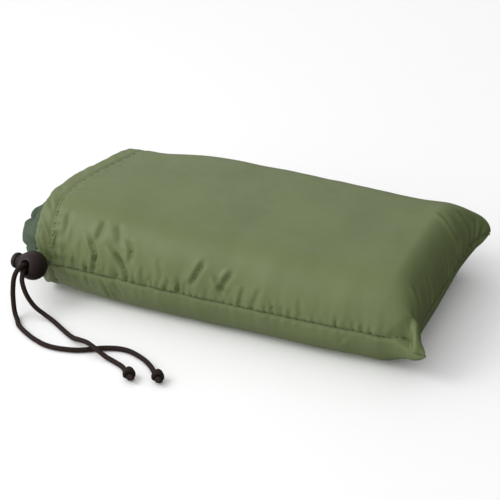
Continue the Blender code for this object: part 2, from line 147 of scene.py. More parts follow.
# The two tails: chosen places along each, from the lock's bore to the knot.
LEFT_TAIL = [(-0.1366, -0.1040, 0.0373), (-0.1381, -0.1087, 0.0357), (-0.1395, -0.1119, 0.0303),
             (-0.1402, -0.1136, 0.0206), (-0.1402, -0.1142, 0.0118), (-0.1388, -0.1158, 0.0052),
             (-0.1345, -0.1200, 0.0021), (-0.1280, -0.1270, 0.0019), (-0.1117, -0.1364, 0.0019),
             (-0.0957, -0.1408, 0.0019), (-0.0769, -0.1376, 0.0019), (-0.0595, -0.1275, 0.0019),
             (-0.0456, -0.1246, 0.0019), (-0.0316, -0.1292, 0.0019), (-0.0215, -0.1360, 0.0019),
             (-0.0140, -0.1440, 0.0019)]
RIGHT_TAIL = [(-0.1360, -0.1042, 0.0333), (-0.1348, -0.1082, 0.0318), (-0.1335, -0.1110, 0.0275),
              (-0.1302, -0.1120, 0.0190), (-0.1250, -0.1112, 0.0105), (-0.1185, -0.1096, 0.0046),
              (-0.1100, -0.1116, 0.0020), (-0.0937, -0.1216, 0.0019), (-0.0860, -0.1262, 0.0028),
              (-0.0790, -0.1300, 0.0052), (-0.0705, -0.1334, 0.0068), (-0.0620, -0.1362, 0.0052),
              (-0.0545, -0.1382, 0.0028), (-0.0470, -0.1402, 0.0019), (-0.0390, -0.1436, 0.0019),
              (-0.0330, -0.1490, 0.0019)]

# Creases in the cloth, in millimetres: places along the crease as pairs (along the seam, away
# from it), then the valley's width and its depth.
FRONT_CREASES = [(-101, 30, -94.6, 21, -91.4, 14, -93, 4, 1.4, 1.9),
                 (-83, 25, -75, 17.5, -68.7, 9.4, -65.5, 0, 1.4, 2.1),
                 (-71, 30, -65.7, 25, -64, 15, 1.7, 1.6), (-90.5, 41, -91, 33, -92, 24, 2.2, 1.1),
                 (-81, 41, -77, 33, -75, 26, 2.4, 0.9), (-125.5, 30, -125, 16, -122, 1, 1.3, 1.3),
                 (-120, 43, -117, 24, 1.9, 0.9), (-114, 34, -111, 18, 1.8, 0.6),
                 (-118, 18, -116, 2, 1.3, 0.8), (-100.5, 11, -98.5, 1, 1.1, 1.0),
                 (-109.5, 13, -109, 1, 1.1, 0.9), (-88.5, 14, -86.5, 1, 1.1, 0.9),
                 (-105, 24, -102, 7, 1.6, 0.6), (-9, 28, -13, 18.5, -17, 8, 1.7, 1.7),
                 (-1, 20, 4, 13, 8.5, 7, 1.4, 1.6), (12, 25, 8, 17, 4, 8, 1.6, 1.6),
                 (-27, 13, -26, 1, 1.3, 0.9), (-55, 15, -53, 1, 1.3, 0.9),
                 (-44, 24, -41, 16, -38, 7, 2.0, 0.8), (-35, 12, -33, 2, 1.2, 0.8),
                 (22, 16, 20, 2, 1.4, 0.9), (34, 18, 30, 3, 1.6, 0.7), (62, 16, 65, 2, 1.5, 0.6)]
FRONT_UNDER_CREASES = [(-88, 1, -84, 11.5, -82, 23, 1.4, 1.1), (-100, 1, -98, 12, 1.2, 0.8),
                       (-78, 1, -71, 14, 1.3, 0.8), (-118, 1, -112, 11, 1.4, 0.8),
                       (-60, 4, -56, 12, 1.6, 0.4), (96, 3, 92, 12, 1.7, 0.5)]
END_CREASES = [(41, 44, 35, 25, 37, 14.6, 32, 2, 2.3, 1.9), (57, 34, 63, 4, 2.4, 1.3),
               (-52, 30, -58, 6, 2.2, 1.1), (-30, 26, -33, 4, 2.0, 0.8), (8, 22, 7, 3, 1.9, 0.7),
               (70, 20, 66, 4, 1.8, 1.0), (-68, 20, -66, 4, 1.8, 1.0)]

# Folds in the hem near the lock: along the mouth from the lock, and across from its outer edge.
HEM_FOLDS = [(20, 0, 12, 5, 3, 10, 1.2, 1.2), (11, -1, 6, 4, 1, 8, 1.0, 0.9),
             (27, 2, 19, 8, 9, 12, 1.1, 1.1), (24, -1, 21, 3, 16, 7, 1.0, 0.9),
             (44, 3, 36, 9, 1.3, 0.6), (60, 2, 55, 9, 1.4, 0.5)]


# Helpers for modelling.

def deselect_all():
    for item in bpy.context.view_layer.objects.selected:
        item.select_set(False)


def make_active(piece):
    deselect_all()
    piece.select_set(True)
    bpy.context.view_layer.objects.active = piece


def apply_modifier(piece, modifier):
    make_active(piece)
    bpy.ops.object.modifier_apply(modifier=modifier.name)


def settle(piece):
    """Puts a piece's place and turn into its mesh."""
    make_active(piece)
    bpy.ops.object.transform_apply(location=True, rotation=True, scale=True)


def finish_piece(piece, name, finish, body, slot, *nodes):
    """Gives a piece its name, finish and body, and hides the nodes that it stands for. The slot is
    not used.
    """
    piece.name = name
    piece.data.name = name
    piece.data.materials.clear()
    piece.data.materials.append(finish)
    if nodes:
        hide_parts(*nodes)
    if body:
        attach(piece, body)
    return piece


def smooth(piece, degrees):
    """Shades a piece smooth, but for edges sharper than the angle."""
    make_active(piece)
    bpy.ops.object.shade_smooth_by_angle(angle=math.radians(degrees))


def step(value):
    """A smooth rise from 0 to 1."""
    value = np.clip(value, 0.0, 1.0)
    return value * value * (3 - 2 * value)


def bell(distance, width):
    """1 at no distance, falling to nothing past about two widths."""
    return np.exp(-(distance / width) ** 2)


def noise_at(places):
    """A soft unevenness, between about -1 and 1, at each place."""
    return np.array([noise.noise(Vector(place)) for place in places])


def points_of(piece):
    return np.array([v.co for v in piece.data.vertices])


def set_points(piece, points):
    piece.data.vertices.foreach_set("co", points.astype(np.float32).ravel())
    piece.data.update()


def distances_along(route):
    """How far along a route each of its points is."""
    return np.concatenate([[0], np.cumsum(np.linalg.norm(np.diff(route, axis=0), axis=1))])


def directions(route):
    ahead = np.gradient(route, axis=0)
    return ahead / np.linalg.norm(ahead, axis=1, keepdims=True)


def grid_piece(name, points, size, wrap=False):
    """A sheet of quads through a table of places, with a UV map in metres named cloth."""
    rows, cols = points.shape[:2]
    deselect_all()
    bpy.ops.mesh.primitive_grid_add(x_subdivisions=rows - 1, y_subdivisions=cols - 1, size=2)
    piece = bpy.context.object
    piece.name = name
    mesh = piece.data
    flat = np.empty(len(mesh.vertices) * 3, np.float32)
    mesh.vertices.foreach_get("co", flat)
    flat = flat.reshape(-1, 3)
    i = np.rint((flat[:, 0] + 1) / 2 * (rows - 1)).astype(int)
    j = np.rint((flat[:, 1] + 1) / 2 * (cols - 1)).astype(int)
    mesh.vertices.foreach_set("co", points[i, j].astype(np.float32).ravel())
    layer = mesh.uv_layers[0]
    layer.name = "cloth"
    corner = np.empty(len(mesh.loops) * 2, np.float32)
    layer.data.foreach_get("uv", corner)
    corner = corner.reshape(-1, 2) * np.array(size, np.float32)
    layer.data.foreach_set("uv", corner.ravel())
    mesh.update()
    if wrap:
        shell = bmesh.new()
        shell.from_mesh(mesh)
        rim = [v for v in shell.verts if v.is_boundary]
        bmesh.ops.remove_doubles(shell, verts=rim, dist=1e-6)
        shell.to_mesh(mesh)
        shell.free()
    return piece


def face_outwards(piece, centre):
    """Turns a sheet's faces so that most of them look away from a place."""
    mesh = piece.data
    outward = sum((f.center - centre).dot(f.normal) * f.area for f in mesh.polygons)
    if outward < 0:
        mesh.flip_normals()


def solidify(piece, thickness):
    """Gives a sheet its thickness, on its inner side."""
    wall = piece.modifiers.new("wall", "SOLIDIFY")
    wall.thickness = thickness
    wall.offset = -1
    wall.use_even_offset = False
    apply_modifier(piece, wall)


def smooth_route(points, spacing, closed=False):
    """Even points along a smooth curve through the given ones."""
    points = [Vector(p) for p in points]
    count = len(points)
    shares = 12
    fine = []
    for k in range(count if closed else count - 1):
        if closed:
            a, b, c, d = (points[(k + n) % count] for n in (-1, 0, 1, 2))
        else:
            a, b, c, d = (points[min(max(k + n, 0), count - 1)] for n in (-1, 0, 1, 2))
        for n in range(shares):
            t = n / shares
            fine.append(0.5 * (2 * b + (c - a) * t + (2 * a - 5 * b + 4 * c - d) * t ** 2
                               + (3 * b - a - 3 * c + d) * t ** 3))
    fine.append(points[0].copy() if closed else points[-1].copy())
    places = np.array(fine)
    runs = distances_along(places)
    even = np.linspace(0, runs[-1], max(2, round(runs[-1] / spacing)) + 1)
    made = np.stack([np.interp(even, runs, places[:, n]) for n in range(3)], axis=1)
    return made[:-1] if closed else made


# The sack's outline: how wide, high and lifted it is at each x.

def taper(x):
    """0 in the body of the sack, 1 along the hem at the mouth."""
    return step((PANEL_START_X + MOUTH_TAPER - x) / MOUTH_TAPER)


def along(x):
    """-1 at the mouth, 1 at the closed end."""
    return 2 * (x - MOUTH_X) / SACK_LENGTH - 1


def half_width(x):
    body = SACK_WIDTH / 2 + SIDE_BOW * (1 - along(x) ** 2)
    return body + (MOUTH_WIDTH / 2 - body) * taper(x)


def middle_y(x):
    return -MOUTH_SHIFT * taper(x)


def underside_z(x):
    return MOUTH_LIFT * step((PANEL_START_X + MOUTH_TAPER / 3 - x) * 3 / MOUTH_TAPER)


def top_z(x):
    body = SACK_HEIGHT + (SACK_HEIGHT_AT_END - SACK_HEIGHT) * step(along(x) / 2 + 0.5)
    return body + (MOUTH_LIFT + MOUTH_HEIGHT - body) * taper(x)


def crown_z(x, across):
    return CROWN * (1 - across ** 2) * (1 - along(x) ** 2)


def sack_place(x, y, z):
    """A point of the sack, with the mouth's lean and swell and the closed end's ears."""
    lean = MOUTH_SLANT * taper(x) * np.maximum(y / SACK_WIDTH + 0.5, 0.0) ** 2
    high = np.clip((z - SEAM_HEIGHT) / (SACK_HEIGHT - SEAM_HEIGHT), 0.0, 1.0)
    swell = taper(x) * bell(y - MOUTH_PUFF_Y, MOUTH_PUFF_WIDTH) * high
    lean = lean - MOUTH_PUFF * swell
    z = z + MOUTH_RISE * swell
    near_end = step((x - CLOSED_X + END_ROUND_TOP) / END_ROUND_TOP)
    ear = CORNER_EAR * near_end * np.minimum(np.abs(y) / (SACK_WIDTH / 2), 1.0) ** EAR_SHARPNESS
    return np.stack([x + lean + ear, y, z], axis=-1)


def rounded_line(edge, rise, flat_length, spacing, open_low=False):
    """Places across a block with rounded sides: shares of its half width, distances to add to
    them, and shares of its full height. An open low side isn't rounded."""
    arc = math.pi / 2 * math.hypot(edge, rise) / math.sqrt(2)
    turn = np.linspace(0, math.pi / 2, max(6, round(arc / spacing)) + 1)
    flat = np.linspace(-1, 1, max(4, round(flat_length / spacing)) + 1)
    near = (-np.ones(len(turn)), edge * (1 - np.cos(turn)), np.sin(turn))
    middle = (flat, -flat * edge, np.ones(len(flat)))
    far = (np.ones(len(turn)), -edge * (1 - np.cos(turn[::-1])), np.sin(turn[::-1]))
    if open_low:
        middle = (flat, -edge * (flat + 1) / 2, np.ones(len(flat)))
        parts = [middle, far]
    else:
        parts = [near, middle, far]
    return [np.concatenate([p[n] if k == 0 else p[n][1:] for k, p in enumerate(parts)])
            for n in range(3)]


def back_corner(x, y):
    """0 in the body of the sack, 1 in its back corner at the closed end."""
    return step((x - CLOSED_X + 0.050) / 0.040) * step((y - 0.034) / 0.036)


def sack_grid(up, spacing):
    """The upper or lower panel's places, with the distances from each of its four edges."""
    side_round = SIDE_ROUND_TOP if up > 0 else SIDE_ROUND_UNDER
    end_round = END_ROUND_TOP if up > 0 else END_ROUND_UNDER
    rise = SACK_HEIGHT - SEAM_HEIGHT if up > 0 else SEAM_HEIGHT
    half = (CLOSED_X - PANEL_START_X) / 2
    share, extra, full_x = rounded_line(end_round, rise, 2 * half - end_round, spacing, True)
    x = ((CLOSED_X + PANEL_START_X) / 2 + share * half + extra)[:, None]
    share, extra, full_y = rounded_line(side_round, rise, SACK_WIDTH - 2 * side_round, spacing)
    wide = half_width(x)
    y = share * wide + extra
    if up > 0:
        height = top_z(x) + crown_z(x, y / wide) - SEAM_HEIGHT
    else:
        height = underside_z(x) - SEAM_HEIGHT
    full = full_x[:, None] * full_y
    fuller = BACK_CORNER_FULLNESS * back_corner(x, y) * (up > 0)
    z = SEAM_HEIGHT + height * full ** (1 - fuller)
    x = x + 0 * y
    points = sack_place(x, middle_y(x) + y, z)
    run_across = np.linalg.norm(np.diff(points, axis=1), axis=2)
    run_along = np.linalg.norm(np.diff(points, axis=0), axis=2)
    zero_column = np.zeros((points.shape[0], 1))
    zero_row = np.zeros((1, points.shape[1]))
    from_front = np.concatenate([zero_column, np.cumsum(run_across, axis=1)], axis=1)
    from_mouth = np.concatenate([zero_row, np.cumsum(run_along, axis=0)], axis=0)
    from_back = from_front[:, -1:] - from_front
    from_end = from_mouth[-1:] - from_mouth
    return points, from_front, from_back, from_mouth, from_end


def outward(points, up):
    """The direction square to a panel at each of its places."""
    down_rows = np.gradient(points, axis=0)
    down_cols = np.gradient(points, axis=1)
    normal = np.cross(down_rows, down_cols) * up
    return normal / np.maximum(np.linalg.norm(normal, axis=2, keepdims=True), 1e-12)


# Creases and puckers, as height over the plain surface.

def crease(u, w, line):
    """A sharp valley along a line of places, with a high soft ridge on one side of it and a low
    one on the other. The line is in millimetres."""
    *places, width, depth = line
    width, depth = width / 1000, depth / 1000
    route = smooth_route([(a, b, 0) for a, b in zip(places[::2], places[1::2])], 1.0) / 1000
    reach = 6 * width
    low, high = route.min(axis=0) - reach, route.max(axis=0) + reach
    u, w = np.broadcast_arrays(u, w)
    near = (u > low[0]) & (u < high[0]) & (w > low[1]) & (w < high[1])
    made = np.zeros(u.shape)
    if not near.any():
        return made
    gap_u = u[near][:, None] - route[:, 0]
    gap_w = w[near][:, None] - route[:, 1]
    distance = np.hypot(gap_u, gap_w)
    closest = distance.argmin(axis=1)
    rows = np.arange(len(closest))
    ahead = np.gradient(route, axis=0)[closest]
    side = np.sign(gap_u[rows, closest] * ahead[:, 1] - gap_w[rows, closest] * ahead[:, 0])
    aside = side * distance[rows, closest]
    share = closest / (len(route) - 1)
    fade = step(share * 3 + 0.15) * step((1 - share) * 3 + 0.15)
    valley = np.exp(-np.abs(aside / width) ** 1.35)
    high_ridge = bell(aside - 1.8 * width, 1.4 * width)
    low_ridge = bell(aside + 2.1 * width, 1.7 * width)
    made[near] = depth * fade * (0.9 * high_ridge + 0.3 * low_ridge - 1.5 * valley)
    return made


def tucked_ear(x, from_front):
    """The front corner's tuck: a facet that sinks towards a fold line, then stands up sharply."""
    tall, fold_x = 0.021, 0.1380
    share = np.clip(1 - from_front / tall, 0.0, 1.0)
    start = fold_x - 0.004 - 0.013 * share
    sink = np.clip((x - start) / np.maximum(fold_x - start, 1e-4), 0.0, 1.0)
    stands = step((x - fold_x) / 0.0022)
    ridge = bell(x - fold_x - 0.0030, 0.0030)
    return share ** 0.7 * (0.0016 * ridge - 0.0066 * sink ** 1.3 * (1 - stands))


def pucker_lines(first, last, spacing, reach, depth, seed):
    """Small gathers that stand on a seam, unevenly spaced, in millimetres."""
    rng = np.random.default_rng(seed)
    lines = []
    at = first
    while at < last:
        tall = reach * rng.uniform(0.45, 1.3)
        lean = rng.uniform(-0.35, 0.35) * tall
        wide = spacing * rng.uniform(0.16, 0.24)
        lines.append((at, -0.3 * tall, at + lean, tall, wide, depth * rng.uniform(0.4, 1.2)))
        at += spacing * rng.uniform(0.65, 1.4)
    return lines


def waviness(points, size, seed):
    """A soft uneven swell, between about -1 and 1."""
    shift = Vector((seed * 3.1, seed * 1.7, seed * 5.3))
    made = noise_at(Vector(p) / size + shift for p in points.reshape(-1, 3))
    return made.reshape(points.shape[:2])


def fine_gathers(along_seam, from_seam):
    """Thin upright ripples that the thread pulls into the cloth beside a seam."""
    def ripples(wide, tall, layer):
        pairs = zip(along_seam.ravel() / wide, from_seam.ravel() / tall)
        return noise_at((a, b, layer) for a, b in pairs).reshape(along_seam.shape)

    thin = 0.0010 * ripples(0.0055, 0.035, 4.2) * np.exp(-(from_seam / 0.014) ** 1.5)
    broad = 0.0020 * ripples(0.016, 0.060, 8.1) * bell(from_seam, 0.032)
    return thin + broad


def sack_relief(points, from_front, from_back, from_mouth, from_end, up):
    """The height of every crease, gather and swell over one panel of the sack."""
    x, y = points[..., 0], points[..., 1]
    relief = np.zeros(x.shape)
    # Creases and gathers along the front, the back, the closed end and the mouth, in that order.
    front = list(FRONT_CREASES if up > 0 else FRONT_UNDER_CREASES)
    depth = 0.95 if up > 0 else 0.35
    front += pucker_lines(-118, 118, 6.0, 8.5 if up > 0 else 5, depth, 11 + up)
    for line in front:
        relief += crease(x, from_front, line)
    if up > 0:
        relief += tucked_ear(x, from_front)
    for line in pucker_lines(-105, 138, 8.0, 10, depth, 21 + up):
        relief += crease(x, from_back, line)
    ends = list(END_CREASES) if up > 0 else []
    ends += pucker_lines(-74, 74, 7.0, 15 if up > 0 else 8, 0.7, 31 + up)
    for line in ends:
        relief += crease(y, from_end, line)
    mouth_length = float(from_front[:1].max() * 1000)
    for line in pucker_lines(6, mouth_length - 6, 9.0, 12, 0.55, 41 + up):
        relief += crease(from_front, from_mouth, line)
    gather = fine_gathers(x, np.minimum(from_front, from_back))
    relief += gather * (1.0 if up > 0 else 0.4)
    # A soft swell all over, then nothing at the edges but the valleys that the seams draw.
    swell = waviness(points, 0.055, 2 + up) * 0.0011 + waviness(points, 0.024, 5 + up) * 0.0004
    relief += swell * step(np.minimum(from_front, from_back) / 0.012)
    seam = np.minimum(np.minimum(from_front, from_back), from_end)
    relief *= step(np.minimum(seam, from_mouth) / 0.0022)
    relief -= 0.0011 * bell(seam, 0.0012)
    relief -= 0.0006 * bell(from_mouth - 0.0012, 0.0011)
    return relief


def bend_corners(points):
    """The front ear folds outward and down, and the back one points up and out."""
    x, y, z = points[..., 0], points[..., 1], points[..., 2]
    front = step((x - CLOSED_X + 0.016) / 0.020) * step((-y - SACK_WIDTH / 2 + 0.016) / 0.018)
    back = step((x - CLOSED_X + 0.016) / 0.020) * step((y - SACK_WIDTH / 2 + 0.014) / 0.016)
    points[..., 0] += 0.004 * front + 0.003 * back
    points[..., 1] += -0.003 * front + 0.002 * back
    points[..., 2] = z - 0.006 * front + 0.003 * back
    return points


# Materials.

def new_material(name, colour, roughness, **inputs):
    """A material with its tree and shader. Other inputs are named with _ for each space."""
    made = bpy.data.materials.new(name)
    made.use_nodes = True
    shader = made.node_tree.nodes["Principled BSDF"]
    shader.inputs["Base Color"].default_value = (*colour, 1.0)
    shader.inputs["Roughness"].default_value = roughness
    for key, value in inputs.items():
        shader.inputs[key.replace("_", " ")].default_value = value
    return made, made.node_tree, shader


def math_node(tree, operation, *values):
    """A Math node's output. Its values are numbers or other nodes' outputs."""
    node = tree.nodes.new("ShaderNodeMath")
    node.operation = operation
    for socket, value in zip(node.inputs, values):
        if isinstance(value, (int, float)):
            socket.default_value = value
        else:
            tree.links.new(value, socket)
    return node.outputs[0]


def effect_group(name, inputs, outputs):
    """An empty node group with its sockets: inputs as (name, type, default)."""
    tree = bpy.data.node_groups.new(name, "ShaderNodeTree")
    for label, kind, value in inputs:
        socket = tree.interface.new_socket(label, in_out="INPUT", socket_type=kind)
        if value is not None:
            socket.default_value = value
    for label, kind in outputs:
        tree.interface.new_socket(label, in_out="OUTPUT", socket_type=kind)
    return tree, tree.nodes.new("NodeGroupInput"), tree.nodes.new("NodeGroupOutput")


def weave_group():
    """Plain weave: threads over and under each other, from a vector in metres."""
    tree, entry, leave = effect_group(
        "plain_weave",
        [("Vector", "NodeSocketVector", None), ("Threads", "NodeSocketFloat", 2500.0),
         ("Slubs", "NodeSocketFloat", 0.3)],
        [("Height", "NodeSocketFloat"), ("Shade", "NodeSocketFloat")])
    split = tree.nodes.new("ShaderNodeSeparateXYZ")
    tree.links.new(entry.outputs["Vector"], split.inputs[0])
    waves = []
    for axis in ("X", "Y"):
        turned = math_node(tree, "MULTIPLY", split.outputs[axis], entry.outputs["Threads"])
        waves.append(math_node(tree, "SINE", math_node(tree, "MULTIPLY", turned, math.pi)))
    over = math_node(tree, "MULTIPLY", waves[0], waves[1])
    lifted = math_node(tree, "MULTIPLY_ADD", over, 0.5, 0.5)
    streaks = tree.nodes.new("ShaderNodeTexNoise")
    stretch = tree.nodes.new("ShaderNodeMapping")
    stretch.inputs["Scale"].default_value = (60.0, 1500.0, 1.0)
    tree.links.new(entry.outputs["Vector"], stretch.inputs["Vector"])
    tree.links.new(stretch.outputs[0], streaks.inputs["Vector"])
    streaks.inputs["Scale"].default_value = 1.0
    streaks.inputs["Detail"].default_value = 2.0
    slubs = math_node(tree, "MULTIPLY", streaks.outputs[0], entry.outputs["Slubs"])
    tree.links.new(math_node(tree, "ADD", lifted, slubs), leave.inputs["Height"])
    tree.links.new(streaks.outputs[0], leave.inputs["Shade"])
    return tree


def handling_group():
    """Cloudy variation from handling: a slow mask for colour and a finer one for gloss."""
    tree, entry, leave = effect_group(
        "handling", [("Vector", "NodeSocketVector", None), ("Size", "NodeSocketFloat", 20.0)],
        [("Clouds", "NodeSocketFloat"), ("Rub", "NodeSocketFloat")])
    for label, factor, detail in (("Clouds", 1.0, 3.0), ("Rub", 6.0, 5.0)):
        cloud = tree.nodes.new("ShaderNodeTexNoise")
        cloud.inputs["Detail"].default_value = detail
        tree.links.new(entry.outputs["Vector"], cloud.inputs["Vector"])
        scale = math_node(tree, "MULTIPLY", entry.outputs["Size"], factor)
        tree.links.new(scale, cloud.inputs["Scale"])
        tree.links.new(cloud.outputs[0], leave.inputs[label])
    return tree


def place_group(tree, group, vector, **values):
    node = tree.nodes.new("ShaderNodeGroup")
    node.node_tree = group
    tree.links.new(vector, node.inputs["Vector"])
    for key, value in values.items():
        node.inputs[key].default_value = value
    return node


def place_weave(tree, groups, **values):
    """The weave, laid by the piece's own UV map in metres."""
    uv = tree.nodes.new("ShaderNodeUVMap")
    uv.uv_map = "cloth"
    return place_group(tree, groups["weave"], uv.outputs[0], **values)


def place_handling(tree, groups, size):
    """Traces of handling, on the piece's own coordinates."""
    place = tree.nodes.new("ShaderNodeTexCoord")
    return place_group(tree, groups["handling"], place.outputs["Object"], Size=size)


def add_bump(tree, shader, height, strength, distance):
    """Fine relief in the shading, its distance in metres."""
    relief = tree.nodes.new("ShaderNodeBump")
    relief.inputs["Strength"].default_value = strength
    relief.inputs["Distance"].default_value = distance
    tree.links.new(height, relief.inputs["Height"])
    tree.links.new(relief.outputs[0], shader.inputs["Normal"])


def toned(colour, factor):
    """The colour made darker or lighter."""
    return tuple(c * factor for c in colour)


def colour_mix(tree, factor, first, second):
    """The first colour where the factor is 0, the second where it is 1."""
    mixed = tree.nodes.new("ShaderNodeMix")
    mixed.data_type = "RGBA"
    tree.links.new(factor, mixed.inputs["Factor"])
    mixed.inputs["A"].default_value = (*first, 1.0)
    mixed.inputs["B"].default_value = (*second, 1.0)
    return mixed.outputs["Result"]


def spread(tree, value, low, high):
    """A noise's middle range, 0.3 to 0.7, stretched from low to high."""
    ranged = tree.nodes.new("ShaderNodeMapRange")
    tree.links.new(value, ranged.inputs["Value"])
    ranged.inputs["From Min"].default_value = 0.3
    ranged.inputs["From Max"].default_value = 0.7
    ranged.inputs["To Min"].default_value = low
    ranged.inputs["To Max"].default_value = high
    return ranged.outputs[0]


def woven_material(name, colour, groups, dark, threads, rough, bump, sheen):
    """Thin woven nylon with a satin face. Dark is how dark its clouds are, as a share."""
    made, tree, shader = new_material(name, colour, rough[0], Sheen_Weight=sheen,
                                      Sheen_Roughness=0.35, Specular_IOR_Level=0.32)
    shader.inputs["Sheen Tint"].default_value = (*[min(1.0, c * 3 + 0.25) for c in colour], 1.0)
    weave = place_weave(tree, groups, Threads=threads)
    cloud = place_handling(tree, groups, size=18.0)
    clouds = math_node(tree, "MULTIPLY", cloud.outputs["Clouds"], 0.75)
    tone = math_node(tree, "MULTIPLY_ADD", weave.outputs["Shade"], 0.25, clouds)
    ranged = spread(tree, tone, 0.0, 1.0)
    mixed = colour_mix(tree, ranged, toned(colour, dark), colour)
    tree.links.new(mixed, shader.inputs["Base Color"])
    tree.links.new(spread(tree, cloud.outputs["Rub"], *rough), shader.inputs["Roughness"])
    add_bump(tree, shader, weave.outputs["Height"], strength=bump, distance=0.0001)
    return made


def cord_material(name, colour, groups, light):
    """Crossing strands, their tops painted lighter by a factor as a painted highlight, and the
    hollows between them darker as painted shade.
    """
    made, tree, shader = new_material(name, colour, 0.75, Specular_IOR_Level=0.12,
                                      Sheen_Weight=0.01)
    weave = place_weave(tree, groups, Threads=1500.0, Slubs=0.6)
    # Painted light: the weave's height paints the strands' tops lighter and the hollows between them
    # darker.
    mask = spread(tree, weave.outputs["Height"], 0.0, 1.0)
    mixed = colour_mix(tree, mask, colour, toned(colour, light))
    tree.links.new(mixed, shader.inputs["Base Color"])
    add_bump(tree, shader, weave.outputs["Height"], strength=0.6, distance=0.0002)
    return made


def plastic_material(name, colour, groups, light):
    """Moulded plastic: a fine grain, and scuffs that are lighter by a factor."""
    made, tree, shader = new_material(name, colour, 0.38, Specular_IOR_Level=0.22)
    cloud = place_handling(tree, groups, size=260.0)
    mask = spread(tree, cloud.outputs["Rub"], 0.0, 1.0)
    mixed = colour_mix(tree, mask, colour, toned(colour, light))
    tree.links.new(mixed, shader.inputs["Base Color"])
    tree.links.new(spread(tree, cloud.outputs["Clouds"], 0.40, 0.55), shader.inputs["Roughness"])
    grain = tree.nodes.new("ShaderNodeTexNoise")
    grain.inputs["Scale"].default_value = 5000.0
    place = tree.nodes.new("ShaderNodeTexCoord")
    tree.links.new(place.outputs["Object"], grain.inputs["Vector"])
    add_bump(tree, shader, grain.outputs[0], strength=0.12, distance=0.00005)
    return made


def steel_material(name, colour, groups):
    """Drawn wire, unevenly polished."""
    made, tree, shader = new_material(name, colour, 0.25, Metallic=1.0)
    cloud = place_handling(tree, groups, size=600.0)
    tree.links.new(spread(tree, cloud.outputs["Rub"], 0.18, 0.36), shader.inputs["Roughness"])
    return made


# The finishes by name, filled by make_finishes.
FINISHES = {}


def make_finishes(colours):
    groups = {"weave": weave_group(), "handling": handling_group()}
    taffeta, cover, cord, plastic, thread, steel = (
        tuple(getattr(colours, key))
        for key in ("taffeta", "cover", "cord", "plastic", "thread", "steel"))
    FINISHES["taffeta"] = woven_material("satin_taffeta", taffeta, groups, dark=0.86,
                                         threads=2600.0, rough=(0.42, 0.52), bump=0.35, sheen=0.03)
    # The pillow cover's colour is its own teal green, partly darkened with painted shade of the
    # mouth.
    FINISHES["cover"] = woven_material("pillow_cover", cover, groups, dark=0.80,
                                       threads=2200.0, rough=(0.42, 0.55), bump=0.45, sheen=0.06)
    # The cord's strand tops carry a painted highlight, and its hollows painted shade.
    FINISHES["cord"] = cord_material("braided_cord", cord, groups, light=3.2)
    # The thread's colour is partly painted shade of the seam's groove, and its strand tops carry a
    # painted highlight.
    FINISHES["thread"] = cord_material("sewing_thread", thread, groups, light=1.4)
    FINISHES["plastic"] = plastic_material("moulded_plastic", plastic, groups, light=1.5)
    FINISHES["steel"] = steel_material("spring_wire", steel, groups)


# Cords.

def transport(route):
    """Two directions square to a route at each of its points, without twist."""
    ahead = directions(route)
    side = np.cross(ahead[0], (0.0, 0.0, 1.0))
    if np.linalg.norm(side) < 0.1:
        side = np.cross(ahead[0], (1.0, 0.0, 0.0))
    sides = []
    for direction in ahead:
        side = side - direction * np.dot(side, direction)
        side = side / np.linalg.norm(side)
        sides.append(side)
    sides = np.array(sides)
    return sides, np.cross(ahead, sides)


def braided_tube(name, route, diameter, sides=24, strands=4, pitch=0.0021, tips=True):
    """A round braid of crossing strands along a route, closed at both ends. With tips, its ends
    are drawn in. With no strands it is a plain wire."""
    side, up = transport(route)
    turn = np.linspace(0, 2 * math.pi, sides + 1)
    runs = distances_along(route)
    phase = runs[:, None] * 2 * math.pi / pitch
    lift = np.cos(strands * turn + phase / 2) * np.cos(strands * turn - phase / 2)
    radius = diameter / 2 * (0.97 + 0.06 * lift)
    if tips:
        shrink = np.ones(len(route))
        shrink[[0, -1]] = 0.04
        shrink[[1, -2]] = 0.80
        radius = radius * shrink[:, None]
    ring = np.cos(turn)[:, None] * side[:, None, :] + np.sin(turn)[:, None] * up[:, None, :]
    points = route[:, None, :] + ring * radius[..., None]
    piece = grid_piece(name, points, (runs[-1], math.pi * diameter), wrap=True)
    close_ends(piece)
    smooth(piece, 70)
    return piece


def close_ends(piece):
    """Fills a tube's two ends and turns its faces outwards."""
    shell = bmesh.new()
    shell.from_mesh(piece.data)
    bmesh.ops.holes_fill(shell, edges=[e for e in shell.edges if e.is_boundary], sides=0)
    bmesh.ops.recalc_face_normals(shell, faces=shell.faces)
    shell.to_mesh(piece.data)
    shell.free()


def lock_centre():
    """The ball's centre, a short way out along the bore from where the cord leaves the hem."""
    exit_x = MOUTH_X + HEM_WIDTH * 0.7
    lean = MOUTH_SLANT * max(MOUTH_FRONT_Y / SACK_WIDTH + 0.5, 0.0) ** 2
    exit_point = Vector((exit_x + lean, MOUTH_FRONT_Y, SEAM_HEIGHT + LOCK_ABOVE_SEAM))
    return exit_point + BORE_AXIS * LOCK_STANDOFF


def strand_middle(side, diameter):
    """Where a strand crosses the lock's middle plane: side is +1 above and -1 below."""
    return lock_centre() + PLUNGER_AXIS * PLUNGER_TRAVEL / 2 + LOCK_UP * side * (diameter + GAP) / 2


def tail_route(side, chosen, diameter):
    """From the lock's middle straight out along its bore, then through the chosen places."""
    middle = strand_middle(side, diameter)
    straight = PLUNGER_DIAMETER / 2
    start = [middle + BORE_AXIS * GAP / 2, middle + BORE_AXIS * straight / 2,
             middle + BORE_AXIS * straight]
    return start + [Vector(p) for p in chosen]


